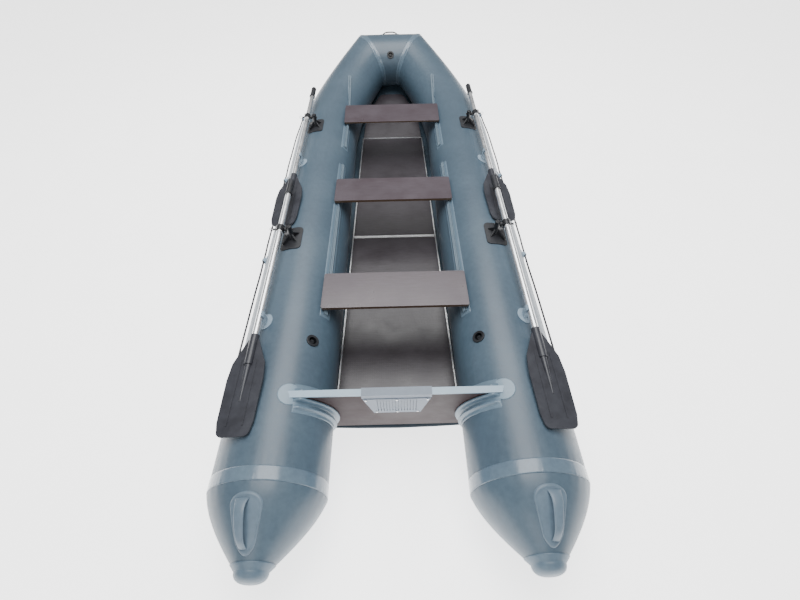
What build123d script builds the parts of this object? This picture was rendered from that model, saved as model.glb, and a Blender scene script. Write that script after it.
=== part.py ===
"""Rigid-floor inflatable dinghy with three sliding seats and two pairs of oars.

Boat frame while building: +X starboard, +Y forward, +Z up, in millimetres.
Y = 0 is the aft edge of the transom top and Z = 0 is the ground under the tubes.
Every node is moved along Y at the end, so that the origin is the middle of the footprint.
"""
import os
from math import atan2, cos, degrees, pi, radians, sin, sqrt, tan

from build123d import *

# ---------------------------------------------------------------- driving dimensions
tube_radius = 240.0          # side tubes, 480 mm in diameter
bow_radius = 215.0           # the tubes narrow towards the bow segment
fabric = 1.2                 # coated fabric wall
tube_offset = 535.0          # tube centre line from the boat's middle
bend_start = 2380.0          # where the side tubes begin to turn in and up
bend_radius = 1870.0
bend_angle = 38.7            # turn of the side tube up to the bow seam
bend_tilt = 32.4             # the turn leans upwards by this much
cone_start = -340.0          # stern end of the cylindrical tube
cone_length = 265.0
cone_tip_radius = 60.0
cone_tip_rise = 60.0         # the cone's tip stands above the tube's centre line

floor_height = 100.0         # underside of the floor boards
floor_thick = 12.0
floor_aft_half = 312.0       # half width of the floor at the transom
floor_fore_half = 264.0      # half width at the foremost joint
floor_notch = (296.0, 58.0)    # half width and length of the aft end between the transom sleeves
floor_butt_gap = 3.0
floor_joints = (790.0, 1414.0, 2080.0, 2748.0)   # metal profiles across the floor
bow_panel_length = 600.0
bow_panel_rise = 12.0        # degrees
bow_panel_tip_half = 105.0
board_gap = 0.2              # clearance of a board in its metal profile
profile_web = 4.0
profile_lip = 21.0
profile_skin = 2.0
stringer_lip = 7.0

transom_top = 468.0
transom_bottom = 62.0
transom_thick = 27.0
transom_rake = 7.5           # degrees, the top leans aft
motor_pad_top = 300.0
motor_pad_bottom = 212.0
motor_pad_height = 190.0
motor_pad_thick = 8.0
groove_count = 14
groove_depth = 5.0

seat_length = 750.0
seat_depth = 240.0
seat_thick = 15.0
seat_corner = 12.0
rail_offset = 355.0          # seat rail centre line from the boat's middle
rail_bore = 5.5
rail_outer = 8.0
rail_slot = 4.0
rail_block = 24.0            # width of the rail's foot
rail_lift = 12.0             # rail centre above the tube there
keder_radius = 5.0
keder_web = 3.0
strap_width = 30.0
strap_thick = 3.0
seat_gap = 15.0              # from rail centre up to the seat strap
long_rail = (490.0, 1850.0)
bow_rail = (2090.0, 2380.0)  # straight part, then it sweeps up with the tube
bow_rail_radius = 1600.0
bow_rail_sweep = 23.5        # degrees
seat_places = {"aft": 625.0, "middle": 1507.0}
bow_seat_place = 150.0       # arc length from the start of the sweep

oar_offset = 632.0           # oar collar from the boat's middle
oar_height = 545.0
collar_places = {"aft": 1000.0, "fore": 2290.0}
oar_yaw = 1.0                # degrees, blades slightly outboard
oar_slope = 3.3              # degrees, blades slightly down
blade_roll = 8.0             # degrees, outer edge down
shaft_radius = 16.0
shaft_bore = 14.4
shaft_fore = 300.0           # collar to the grip
grip_length = 130.0
grip_radius = 18.5
blade_start = 725.0          # collar to the blade's shoulder
blade_length = 450.0
blade_width = 165.0
blade_thick = 7.0
blade_rib = 2.5
collar_outer = 24.0
collar_length = 40.0
running_gap = 0.05
swivel_arm = 51.0            # swivel pin to the oar's axis
swivel_radius = 15.0
swivel_pin = 6.0
swivel_head = 44.0           # height of the swivel's head
head_gap = 0.3

valve_flange = 31.0
valve_barrel = 22.0
valve_depth = 34.0
plunger_radius = 10.0
plunger_stem = 4.0
plunger_travel = 6.0
side_valve_place = 312.0
side_valve_angle = -36.0     # from the tube's top, inboard is negative
bow_valve_angle = -57.0      # from the bow tube's top, aft is negative

strake_half = 9.5            # degrees of tube either side of its widest line
strake_thick = 10.0
eyelet_places = (180.0, 980.0, 1800.0, 2660.0)
eyelet_angle = 70.0
rope_radius = 5.0
rope_stand_off = 15.0
clip_places = {"aft": 590.0, "fore": 490.0}   # behind each collar

skin_thick = 1.5
skin_angle = -150.0          # where the bottom skin meets the tube
keel_height = 4.0
keel_rise_start = 2500.0
keel_rise = 236.0
bow_tape_width = 24.0
seam_edge = 0.5
tape_thick = 1.2

# ---------------------------------------------------------------- small helpers
big = 4000.0
floor_aft = ((transom_top - floor_height) * tan(radians(transom_rake))
             + transom_thick / cos(radians(transom_rake)) + floor_butt_gap)


def polar(centre, radius, angle, first, second):
    """Point at an angle from one direction towards another."""
    return centre + first * (radius * cos(radians(angle))) + second * (radius * sin(radians(angle)))


def mirrored(shape):
    """Copy on the port side."""
    return mirror(shape, about=Plane.YZ)


def both(shape):
    """The starboard shape and its port copy."""
    return [shape, mirrored(shape)]


def solids_of(*shapes):
    """Flat list of the solids in some shapes or lists of shapes."""
    found = []
    for shape in shapes:
        if isinstance(shape, (list, tuple)):
            found += solids_of(*shape)
        else:
            found += list(shape.solids())
    return found


def half_space(point, normal):
    """A very large block beyond a plane."""
    return Plane(origin=point, z_dir=normal) * Pos(0, 0, big / 2) * Box(big, big, big)


def prism(points, plane, length):
    """Straight-sided bar from a polygon on a plane, along the plane's normal."""
    return extrude(plane * make_face(Polyline(*points, close=True)), length)


# ---------------------------------------------------------------- side tube
bend_length = bend_radius * radians(bend_angle)
tube_end = bend_start + bend_length
up_out = Vector(sin(radians(bend_tilt)), 0, cos(radians(bend_tilt)))


def station(s, grow=0.0):
    """Axis point, direction, section directions and radius at a length along the starboard tube."""
    turn = min(max((s - bend_start) / bend_radius, 0.0), radians(bend_angle))
    inward = Vector(-cos(radians(bend_tilt)), 0, sin(radians(bend_tilt)))
    centre = Vector(tube_offset, min(s, bend_start), tube_radius)
    centre += Vector(0, 1, 0) * (bend_radius * sin(turn)) + inward * (bend_radius * (1 - cos(turn)))
    forward = Vector(0, 1, 0) * cos(turn) + inward * sin(turn)
    centre += forward * max(s - tube_end, 0.0)
    share = (1 - cos(pi * turn / radians(bend_angle))) / 2
    radius = tube_radius + (bow_radius - tube_radius) * share + grow
    return centre, forward, up_out, forward.cross(up_out), radius


def on_tube(s, angle, lift=0.0):
    """Point on the starboard tube; the angle is from its top and positive outboard."""
    centre, forward, first, second, radius = station(s)
    return polar(centre, radius + lift, angle - bend_tilt, first, second)


def tube_normal(s, angle):
    """Outward direction of the starboard tube there."""
    return (on_tube(s, angle, 10) - on_tube(s, angle)).normalized()


def circle_at(s, grow):
    """Round section of the tube."""
    centre, forward, first, second, radius = station(s, grow)
    return Plane(origin=centre, x_dir=first, z_dir=forward) * Circle(radius)


def sector_at(s, low, high, inner, outer):
    """Part of a ring around the tube, between two angles and two lifts."""
    middle = (low + high) / 2
    edges = [
        ThreePointArc(on_tube(s, low, inner), on_tube(s, middle, inner), on_tube(s, high, inner)),
        Line(on_tube(s, high, inner), on_tube(s, high, outer)),
        ThreePointArc(on_tube(s, high, outer), on_tube(s, middle, outer), on_tube(s, low, outer)),
        Line(on_tube(s, low, outer), on_tube(s, low, inner)),
    ]
    return make_face(edges)


bend_stations = [bend_start + bend_length * i / 8 for i in range(9)]
bow_centre, bow_heading, bow_first, bow_second, bow_end_radius = station(tube_end)
seam_normal = (bow_heading + Vector(-1, 0, 0)).normalized()
past_seam = 330.0


def tube_solid(start, grow):
    """Starboard tube as one solid from a stern station to the bow seam plane."""
    straight = Plane(origin=(tube_offset, start, tube_radius), z_dir=(0, 1, 0)) * Cylinder(
        tube_radius + grow, bend_start - start, align=(Align.CENTER, Align.CENTER, Align.MIN)
    )
    bend = loft([circle_at(s, grow) for s in bend_stations])
    ending = loft([circle_at(tube_end, grow), circle_at(tube_end + past_seam, grow)])
    whole = straight + bend + ending
    return whole - half_space(bow_centre, seam_normal)


def tube_band(start, low, high, inner, outer):
    """Strip along the starboard tube up to the bow seam plane."""
    straight = loft([sector_at(s, low, high, inner, outer) for s in (start, bend_start)])
    bend = loft([sector_at(s, low, high, inner, outer) for s in bend_stations])
    ending = loft([sector_at(s, low, high, inner, outer) for s in (tube_end, tube_end + past_seam)])
    whole = straight + bend + ending
    return whole - half_space(bow_centre, seam_normal)


def bow_solid(grow):
    """Bow segment across the boat, between the two seam planes."""
    bar = Plane(origin=(0, bow_centre.Y, bow_centre.Z), z_dir=(1, 0, 0)) * Cylinder(bow_radius + grow, 1400)
    port_normal = Vector(-seam_normal.X, seam_normal.Y, seam_normal.Z)
    port_point = Vector(-bow_centre.X, bow_centre.Y, bow_centre.Z)
    return bar - half_space(bow_centre, -seam_normal) - half_space(port_point, -port_normal)


def on_bow(x, angle, lift=0.0):
    """Point on the bow segment; the angle is from its top and positive forward."""
    reach = bow_radius + lift
    return Vector(x, bow_centre.Y + reach * sin(radians(angle)), bow_centre.Z + reach * cos(radians(angle)))


starboard_outer = tube_solid(cone_start, 0.0)
starboard_inner = tube_solid(cone_start, -fabric)
bow_outer = bow_solid(0.0)
bow_inner = bow_solid(-fabric)

# ---------------------------------------------------------------- stern cones
cone_end = cone_start - cone_length
cone_sections = ((0.0, 1.0), (0.22, 0.865), (0.60, 0.50), (1.0, 0.0))   # length share, radius share


def cone_radius(share):
    """Radius of the cone where the radius share is given."""
    return cone_tip_radius + (tube_radius - cone_tip_radius) * share


def cone_solid(grow):
    """Tapering stern end of the starboard tube."""
    faces = []
    for along, width in cone_sections:
        centre = (tube_offset, cone_start - cone_length * along, tube_radius + cone_tip_rise * along)
        faces.append(Plane(origin=centre, x_dir=(1, 0, 0), z_dir=(0, -1, 0)) * Circle(cone_radius(width) + grow))
    return loft(faces)


cone_outer = cone_solid(0.0)
cone_shell = cone_outer - cone_solid(-fabric)
cap_centre = Vector(tube_offset, cone_end, tube_radius + cone_tip_rise)
cap_wall = 3.0
cap_skirt = 22.0
cap_nose = 38.0
cap_plane = Plane(origin=cap_centre, x_dir=(1, 0, 0), z_dir=(0, -1, 0))
cap_blank = cap_plane * Pos(0, 0, -cap_skirt) * Cone(
    cone_tip_radius + cap_wall + 12, cone_tip_radius - 6, cap_skirt + cap_nose,
    align=(Align.CENTER, Align.CENTER, Align.MIN),
)
cap_blank = fillet(cap_blank.edges().group_by(Axis.Y)[0], 16)
end_cap = cap_blank - cone_outer

# carry handles on the cones
handle_length = 225.0
handle_width = 112.0
handle_pad = 3.0
handle_along = 0.52          # share of the cone's length
strap_span = 165.0
strap_breadth = 32.0
strap_rise = 34.0
strap_wall = 5.0
cone_top_slope = degrees(atan2(tube_radius - cone_tip_radius - cone_tip_rise, cone_length))
handle_centre = Vector(
    tube_offset, cone_start - cone_length * handle_along,
    tube_radius * 2 - (tube_radius - cone_tip_radius - cone_tip_rise) * handle_along,
)
handle_normal = Vector(0, -sin(radians(cone_top_slope)), cos(radians(cone_top_slope)))
handle_plane = Plane(origin=handle_centre, x_dir=(0, -cos(radians(cone_top_slope)), -sin(radians(cone_top_slope))),
                     z_dir=handle_normal)
handle_outline = extrude(handle_plane * SlotOverall(handle_length, handle_width), 60, both=True)
cone_pad = handle_outline & (cone_solid(handle_pad) - cone_outer)
arch_outer = handle_plane * Rot(90, 0, 0) * extrude(
    make_face(Polyline((-strap_span / 2 - 14, -30), (-strap_span / 2 - 14, 16), (-strap_span / 2 + 12, strap_rise + 16),
                       (strap_span / 2 - 12, strap_rise + 16), (strap_span / 2 + 14, 16),
                       (strap_span / 2 + 14, -30), close=True)), strap_breadth / 2, both=True)
arch_inner = handle_plane * Rot(90, 0, 0) * extrude(
    make_face(Polyline((-strap_span / 2, -31), (-strap_span / 2, 14), (-strap_span / 2 + 16, strap_rise + 10),
                       (strap_span / 2 - 16, strap_rise + 10), (strap_span / 2, 14),
                       (strap_span / 2, -31), close=True)), strap_breadth, both=True)
cone_strap = arch_outer - arch_inner - cone_solid(handle_pad)

# ---------------------------------------------------------------- rub strakes
strake_start = cone_start + 95.0
side_strake = tube_band(strake_start, 90 - strake_half, 90 + strake_half, 0.0, strake_thick)
end_outward = on_tube(tube_end, 90.0) - bow_centre
bow_strake_angle = degrees(atan2(end_outward.Y, end_outward.Z))
bow_strake_ring = bow_solid(strake_thick) - bow_outer
wedge_reach = 400.0
bow_strake_half = strake_half * 1.15


def fan_bar(angle, half):
    """Wedge-shaped bar along the bow segment's axis, either side of an angle from its top."""
    edges = [(0, 0)] + [(wedge_reach * sin(radians(a)), wedge_reach * cos(radians(a)))
                        for a in (angle - half, angle + half)]
    return extrude(Plane(origin=(0, bow_centre.Y, bow_centre.Z), x_dir=(0, 1, 0), z_dir=(1, 0, 0))
                   * make_face(Polyline(*edges, close=True)), 700, both=True)


bow_strake = bow_strake_ring & fan_bar(bow_strake_angle, bow_strake_half)

# spray strip low on the outer side of the cone
spray_angles = (16.0, 22.0)  # degrees below the widest line
spray_thick = 9.0
spray_plane = Plane(origin=(tube_offset, cone_start, tube_radius), x_dir=(1, 0, 0), z_dir=(0, -1, 0))
spray_fan = [(0, 0)] + [(wedge_reach * cos(radians(a)), -wedge_reach * sin(radians(a))) for a in spray_angles]
spray_strip = (cone_solid(spray_thick) - cone_outer) & (
    spray_plane * extrude(make_face(Polyline(*spray_fan, close=True)), cone_length - cap_skirt))

# ---------------------------------------------------------------- valves
side_valve_point = on_tube(side_valve_place, side_valve_angle)
side_valve_plane = Plane(origin=side_valve_point, x_dir=(0, 1, 0), z_dir=tube_normal(side_valve_place, side_valve_angle))
bow_valve_point = on_bow(0.0, bow_valve_angle)
bow_valve_dir = (on_bow(0.0, bow_valve_angle, 10) - bow_valve_point).normalized()
bow_valve_plane = Plane(origin=bow_valve_point, x_dir=(1, 0, 0), z_dir=bow_valve_dir)
flange_thick = 5.0
valve_sag = tube_radius - sqrt(tube_radius ** 2 - valve_flange ** 2)
valve_wall = 3.0
spider_thick = 3.0


def valve_body():
    """Flanged barrel with a guide for its plunger, on its own axis with the fabric at zero."""
    flange = Pos(0, 0, -valve_sag) * Cylinder(valve_flange, flange_thick + valve_sag,
                                              align=(Align.CENTER, Align.CENTER, Align.MIN))
    flange = fillet(flange.edges().group_by(Axis.Z)[-1], 2)
    barrel = Pos(0, 0, -valve_depth) * Cylinder(valve_barrel, valve_depth,
                                                align=(Align.CENTER, Align.CENTER, Align.MIN))
    hollow = Pos(0, 0, -valve_depth + spider_thick) * Cylinder(
        valve_barrel - valve_wall, valve_depth + 20, align=(Align.CENTER, Align.CENTER, Align.MIN))
    guide = Pos(0, 0, -valve_depth - 10) * Cylinder(plunger_stem + running_gap, 60)
    ports = [Rot(0, 0, 90 * i + 45) * Pos(11, 0, -valve_depth) * Cylinder(4, 20) for i in range(4)]
    return flange + barrel - hollow - guide - ports


def valve_plunger():
    """Push button with a cross on its head, on a stem that runs in the guide."""
    head_top = -4.0
    head = Pos(0, 0, head_top - 5) * Cylinder(plunger_radius, 5, align=(Align.CENTER, Align.CENTER, Align.MIN))
    cross = [Pos(0, 0, head_top) * Box(plunger_radius * 1.7, 2.2, 4),
             Pos(0, 0, head_top) * Box(2.2, plunger_radius * 1.7, 4)]
    stem_bottom = -valve_depth - plunger_travel
    stem = Pos(0, 0, stem_bottom) * Cylinder(plunger_stem, head_top - 4 - stem_bottom,
                                             align=(Align.CENTER, Align.CENTER, Align.MIN))
    return head + cross + stem


def valve_hole(plane):
    """Hole in the fabric for a valve's barrel."""
    return plane * Cylinder(valve_barrel + board_gap, 90)


starboard_tube = starboard_outer - starboard_inner - valve_hole(side_valve_plane)
bow_tube = bow_outer - bow_inner - valve_hole(bow_valve_plane)
port_valve_plane = Plane(
    origin=(-side_valve_point.X, side_valve_point.Y, side_valve_point.Z), x_dir=(0, 1, 0),
    z_dir=(-side_valve_plane.z_dir.X, side_valve_plane.z_dir.Y, side_valve_plane.z_dir.Z))
side_valve = (side_valve_plane * valve_body()) - (
    starboard_outer - side_valve_plane * Cylinder(valve_barrel + board_gap, 90))
bow_valve = (bow_valve_plane * valve_body()) - (
    bow_outer - bow_valve_plane * Cylinder(valve_barrel + board_gap, 90))
side_plunger = side_valve_plane * valve_plunger()
port_plunger = port_valve_plane * valve_plunger()
bow_plunger = bow_valve_plane * valve_plunger()

# ---------------------------------------------------------------- chamber walls and tapes
wall_gap = 0.3
bulkhead_slab = half_space(bow_centre + seam_normal * wall_gap, seam_normal) - half_space(
    bow_centre + seam_normal * (wall_gap + fabric), seam_normal)
bulkhead = bow_solid(-fabric - wall_gap) & bulkhead_slab
seam_slab = half_space(bow_centre + seam_normal * seam_edge, seam_normal) - half_space(
    bow_centre + seam_normal * bow_tape_width, seam_normal)
bow_tape = (bow_solid(tape_thick) - bow_outer) & seam_slab
bow_tape = bow_tape - fan_bar(bow_strake_angle, bow_strake_half + 0.1)
stern_tape_length = 56.0
tape_gap = 70.0              # the tape stops short of the ground
stern_tape = Plane(origin=(tube_offset, cone_start, tube_radius), z_dir=(0, 1, 0)) * (
    Cylinder(tube_radius + tape_thick, stern_tape_length, align=(Align.CENTER, Align.CENTER, Align.MIN))
    - Cylinder(tube_radius, stern_tape_length, align=(Align.CENTER, Align.CENTER, Align.MIN)))
stern_tape = stern_tape - Pos(tube_offset, cone_start + stern_tape_length / 2, 0) * Box(
    tape_gap, stern_tape_length + 10, tape_gap)

# ---------------------------------------------------------------- bottom skin and keelson


def keel_z(y):
    """Height of the keel line: level, then rising to the bow."""
    share = max(0.0, (y - keel_rise_start) / (bow_centre.Y - keel_rise_start))
    return keel_height + keel_rise * share ** 1.9


def skin_section(s, angle):
    """Shallow vee of cloth between the two tubes."""
    edge = on_tube(s, angle, 1.0)
    low = keel_z(edge.Y)
    points = [(-edge.X, edge.Z), (0, low), (edge.X, edge.Z), (edge.X, edge.Z + skin_thick),
              (0, low + skin_thick), (-edge.X, edge.Z + skin_thick)]
    return Plane(origin=(0, edge.Y, 0), x_dir=(1, 0, 0), z_dir=(0, -1, 0)) * make_face(Polyline(*points, close=True))


skin_stations = [(60.0, skin_angle), (keel_rise_start - 150, skin_angle)]
skin_stations += [(bend_start + bend_length * i / 8, skin_angle - 20.0 * i / 8) for i in range(2, 9)]
skin_parts = loft([skin_section(s, a) for s, a in skin_stations], ruled=True)
bottom_skin = skin_parts - starboard_outer - mirrored(starboard_outer) - bow_outer - both(bow_tape)

keelson_top = floor_height - board_gap - profile_skin - 0.5
keelson_high = keelson_top - keel_height - skin_thick - 1.5
keelson_wide = 200.0
keelson_ends = ((120.0, 0.35), (330.0, 1.0), (2350.0, 1.0), (2700.0, 0.45))


def keelson_solid(grow):
    """Inflated keel cushion between the skin and the floor."""
    faces = []
    for y, share in keelson_ends:
        centre = (0, y, keelson_top - keelson_high * share / 2)
        faces.append(Plane(origin=centre, x_dir=(1, 0, 0), z_dir=(0, 1, 0))
                     * Ellipse(keelson_wide * share / 2 + grow, keelson_high * share / 2 + grow))
    return loft(faces, ruled=True)


keelson = keelson_solid(0.0) - keelson_solid(-fabric)

# ---------------------------------------------------------------- floor


def floor_half(y):
    """Half width of the floor at a place along the boat."""
    share = (y - floor_aft) / (floor_joints[-1] - floor_aft)
    return floor_aft_half + (floor_fore_half - floor_aft_half) * share


def plate(points, low, thick):
    """Flat board from plan points."""
    return extrude(Plane(origin=(0, 0, low)) * make_face(Polyline(*points, close=True)), thick)


joint_lines = [floor_aft] + list(floor_joints)
side_web = profile_skin + board_gap
floor_panels = []
for k in range(len(floor_joints)):
    low_y = joint_lines[k] + (profile_web / 2 + board_gap if k else 0.0)
    high_y = joint_lines[k + 1] - profile_web / 2 - board_gap
    low_half = floor_half(low_y) - side_web
    high_half = floor_half(high_y) - side_web
    floor_panels.append(plate([(-low_half, low_y), (low_half, low_y), (high_half, high_y), (-high_half, high_y)],
                              floor_height, floor_thick))
for side in (-1, 1):
    floor_panels[0] = floor_panels[0] - Pos(side * (floor_notch[0] + 50), floor_aft, floor_height) * Box(
        100, floor_notch[1] * 2, 100)

profiles = []
for y in floor_joints:
    half = floor_half(y) - stringer_lip - 2
    web = Pos(0, y, floor_height + floor_thick / 2) * Box(half * 2, profile_web, floor_thick + 2 * board_gap)
    lips = [Pos(0, y, floor_height - board_gap - profile_skin / 2) * Box(half * 2, profile_lip, profile_skin),
            Pos(0, y, floor_height + floor_thick + board_gap + profile_skin / 2)
            * Box(half * 2, profile_lip, profile_skin)]
    profiles.append(web + lips)
profiles[-1] = profiles[-1] - Pos(0, floor_joints[-1] + profile_web / 2 + 50, floor_height) * Box(900, 100, 100)
profiles[-1] = profiles[-1] + Pos(0, floor_joints[-1] + 1, floor_height + floor_thick + board_gap + profile_skin / 2) * Box(
    (floor_half(floor_joints[-1]) - stringer_lip - 2) * 2, profile_web, profile_skin)

stringer_low = floor_height - board_gap - profile_skin
stringer_high = floor_height + floor_thick + board_gap + profile_skin
string_aft = floor_aft + floor_notch[1] + 2
string_fore = floor_joints[-1] - profile_web


def strip_plan(outer, inner):
    """Plan of a strip along the floor's starboard edge, between two distances in from it."""
    return [(floor_half(string_aft) - inner, string_aft), (floor_half(string_aft) - outer, string_aft),
            (floor_half(string_fore) - outer, string_fore), (floor_half(string_fore) - inner, string_fore)]


stringer = plate(strip_plan(0, stringer_lip), stringer_low, stringer_high - stringer_low) - plate(
    strip_plan(profile_skin, stringer_lip + 5), floor_height - board_gap, floor_thick + 2 * board_gap)

bow_panel_aft = floor_joints[-1] + profile_web / 2 + board_gap + 3
bow_half = floor_half(bow_panel_aft) - 6
bow_outline = [(-bow_half, 0), (bow_half, 0), (bow_half * 0.93, bow_panel_length * 0.35),
               (bow_half * 0.70, bow_panel_length * 0.72), (bow_panel_tip_half, bow_panel_length),
               (-bow_panel_tip_half, bow_panel_length), (-bow_half * 0.70, bow_panel_length * 0.72),
               (-bow_half * 0.93, bow_panel_length * 0.35)]
bow_panel = extrude(make_face(Polyline(*bow_outline, close=True)), floor_thick)
bow_panel = fillet(bow_panel.edges().filter_by(Axis.Z).sort_by(Axis.Y)[-2:], 60)
bow_panel = Pos(0, bow_panel_aft, floor_height) * Rot(bow_panel_rise, 0, 0) * bow_panel

# ---------------------------------------------------------------- transom
sleeve_base = 3.0
transom_fit = 1.0


def transom_slab(x_half, low, high, aft, fore):
    """Block in the leaning transom's own directions: down from its top, and forward of its aft face."""
    block = Pos(0, (aft + fore) / 2, -(low + high) / 2) * Box(2 * x_half, fore - aft, high - low)
    return Pos(0, 0, transom_top) * Rot(transom_rake, 0, 0) * block


transom_depth = (transom_top - transom_bottom) / cos(radians(transom_rake))
tube_bed = Plane(origin=(tube_offset, -400, tube_radius), z_dir=(0, 1, 0)) * Cylinder(
    tube_radius + sleeve_base + transom_fit, 900, align=(Align.CENTER, Align.CENTER, Align.MIN))
transom = transom_slab(tube_offset - 70, 0, transom_depth, 0, transom_thick) - tube_bed - mirrored(tube_bed)
cap_lip = 6.0
cap_skin = 1.5
cap_half = 464.0
top_cap = transom_slab(cap_half, -cap_skin, cap_lip, -cap_skin, transom_thick + cap_skin) - transom_slab(
    cap_half + 5, 0, cap_lip + 5, 0, transom_thick)
top_cap = top_cap - tube_bed - mirrored(tube_bed)


def sleeve_ring(low, high, aft, fore, inner, outer):
    """Part ring on the starboard tube, between two planes that lean with the transom."""
    ring = Plane(origin=(tube_offset, -400, tube_radius), z_dir=(0, 1, 0)) * (
        Cylinder(tube_radius + outer, 900, align=(Align.CENTER, Align.CENTER, Align.MIN))
        - Cylinder(tube_radius + inner, 900, align=(Align.CENTER, Align.CENTER, Align.MIN)))
    reach = 600.0
    edges = [(0, 0)] + [(reach * sin(radians(a)), reach * cos(radians(a)))
                        for a in (low, (2 * low + high) / 3, (low + 2 * high) / 3, high)]
    fan = Plane(origin=(tube_offset, -400, tube_radius), x_dir=(1, 0, 0), z_dir=(0, -1, 0)) * extrude(
        make_face(Polyline(*edges, close=True)), -900)
    return ring & fan & transom_slab(900, -100, 700, aft, fore)


sleeve_top = -21.0
sleeve_low = -137.0
sleeve = sleeve_ring(sleeve_low, sleeve_top, -64, transom_thick + 40, 0.0, sleeve_base)
sleeve += sleeve_ring(sleeve_low, sleeve_top - 2, -15, -1, sleeve_base - 1, 26)
sleeve += sleeve_ring(sleeve_low, sleeve_top - 2, -46, -34, sleeve_base - 1, 15)
sleeve += sleeve_ring(sleeve_low, sleeve_top - 2, transom_thick + 1, transom_thick + 15, sleeve_base - 1, 26)
patch_radius = 50.0
patch_thick = 2.5
patch_angle = -19.5
patch_point = on_tube(transom_thick / 2, patch_angle)
patch = Plane(origin=patch_point, x_dir=(0, 1, 0), z_dir=tube_normal(0, patch_angle)) * Cylinder(patch_radius, 60)
patch_bed = Plane(origin=(tube_offset, -400, tube_radius), z_dir=(0, 1, 0))
patch = patch & (patch_bed * (Cylinder(tube_radius + sleeve_base + patch_thick, 900,
                                       align=(Align.CENTER, Align.CENTER, Align.MIN))
                              - Cylinder(tube_radius, 900, align=(Align.CENTER, Align.CENTER, Align.MIN))))
sleeve = sleeve + patch - transom_slab(tube_offset - 60, -40, transom_depth, -0.5, transom_thick + 0.5) - transom_slab(
    cap_half + 0.5, -cap_skin - 0.5, cap_lip + 1, -cap_skin - 0.5, transom_thick + cap_skin + 0.5)
top_cap = top_cap - patch

groove_pitch = motor_pad_bottom * 0.86 / groove_count
groove_width = groove_pitch * 0.24
pad_face = make_face(Polyline((-motor_pad_top / 2, 0), (motor_pad_top / 2, 0),
                              (motor_pad_bottom / 2, -motor_pad_height), (-motor_pad_bottom / 2, -motor_pad_height),
                              close=True))


def on_transom(aft):
    """Plane parallel to the transom's aft face, at a distance aft of it, with X to starboard and Y up."""
    lean = radians(transom_rake)
    return Plane(origin=(0, -aft * cos(lean), transom_top - aft * sin(lean)), x_dir=(1, 0, 0),
                 z_dir=(0, -cos(lean), -sin(lean)))


pad_top = -12.0              # the pad's top edge, below the transom's
outer_plate = on_transom(0) * Pos(0, pad_top, 0) * extrude(pad_face, motor_pad_thick)
outer_plate = outer_plate - transom_slab(cap_half, -10, cap_lip + 0.5, -cap_skin, 2)
grooves = [on_transom(motor_pad_thick) * Pos((i - (groove_count - 1) / 2) * groove_pitch, pad_top - motor_pad_height / 2, 0)
           * Box(groove_width, motor_pad_height * 0.76, groove_depth * 2) for i in range(groove_count)]
outer_plate = outer_plate - grooves
hood_skin = 3.5
hood = transom_slab(motor_pad_top / 2, -cap_skin - hood_skin, 30, -cap_skin - hood_skin, transom_thick + cap_skin + hood_skin) \
    - transom_slab(motor_pad_top, -cap_skin - 0.2, 40, -cap_skin - 0.2, transom_thick + cap_skin + 0.2)
outer_plate = outer_plate - transom_slab(motor_pad_top, -20, 30.5, -30, -cap_skin)
inner_plate = transom_slab(130, 36, 150, transom_thick, transom_thick + 6)
screw_inset = 13.0
screw_places = [(x, pad_top - screw_inset - 18) for x in (-motor_pad_top / 2 + screw_inset + 4, 0, motor_pad_top / 2 - screw_inset - 4)]
screw_places += [(x, pad_top - motor_pad_height + screw_inset)
                 for x in (-motor_pad_bottom / 2 + screw_inset, 0, motor_pad_bottom / 2 - screw_inset)]
pad_screws = [on_transom(motor_pad_thick) * Pos(x, y, 0) * Cylinder(5, 2.4, align=(Align.CENTER, Align.CENTER, Align.MIN))
              for x, y in screw_places]

# ---------------------------------------------------------------- seat rails and seats
rail_base_z = tube_radius + sqrt(tube_radius ** 2 - (tube_offset - rail_offset) ** 2)
rail_z = rail_base_z + rail_lift


def rail_profile(y):
    """Slotted round channel on a block foot, drawn across the boat."""
    sketch = Circle(rail_outer) + Pos(0, -20) * Rectangle(rail_block, 34) - Circle(rail_bore)
    sketch = sketch - Pos(0, rail_outer) * Rectangle(rail_slot, rail_outer * 2)
    return Plane(origin=(rail_offset, y, rail_z), x_dir=(1, 0, 0), z_dir=(0, -1, 0)) * sketch


def keder_profile(y):
    """Rod on a web under a flat strap."""
    sketch = Circle(keder_radius) + Pos(0, seat_gap / 2) * Rectangle(keder_web, seat_gap)
    sketch = sketch + Pos(0, seat_gap + strap_thick / 2) * Rectangle(strap_width, strap_thick)
    return Plane(origin=(rail_offset, y, rail_z), x_dir=(1, 0, 0), z_dir=(0, -1, 0)) * sketch


sweep_axis = Axis((0, bow_rail[1], rail_z + bow_rail_radius), (1, 0, 0))


def swept(profile, degrees_round):
    """Profile turned about the sweep's centre."""
    return revolve(profile, axis=sweep_axis, revolution_arc=degrees_round)


long_rail_solid = extrude(rail_profile(long_rail[1]), long_rail[1] - long_rail[0]) - starboard_outer
bow_rail_straight = extrude(rail_profile(bow_rail[1]), bow_rail[1] - bow_rail[0])
bow_rail_curved = swept(rail_profile(bow_rail[1]), bow_rail_sweep)
bow_rail_solid = (bow_rail_straight + bow_rail_curved) - tube_solid(bend_start - 400, 0.0)
seat_slider_length = seat_depth - 30.0


def board(y_centre):
    """Seat board with rounded corners, level, at a place along the boat."""
    low = rail_z + seat_gap + strap_thick
    blank = Pos(0, y_centre, low + seat_thick / 2) * Box(seat_length, seat_depth, seat_thick)
    return fillet(blank.edges().filter_by(Axis.Z), seat_corner)


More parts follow.
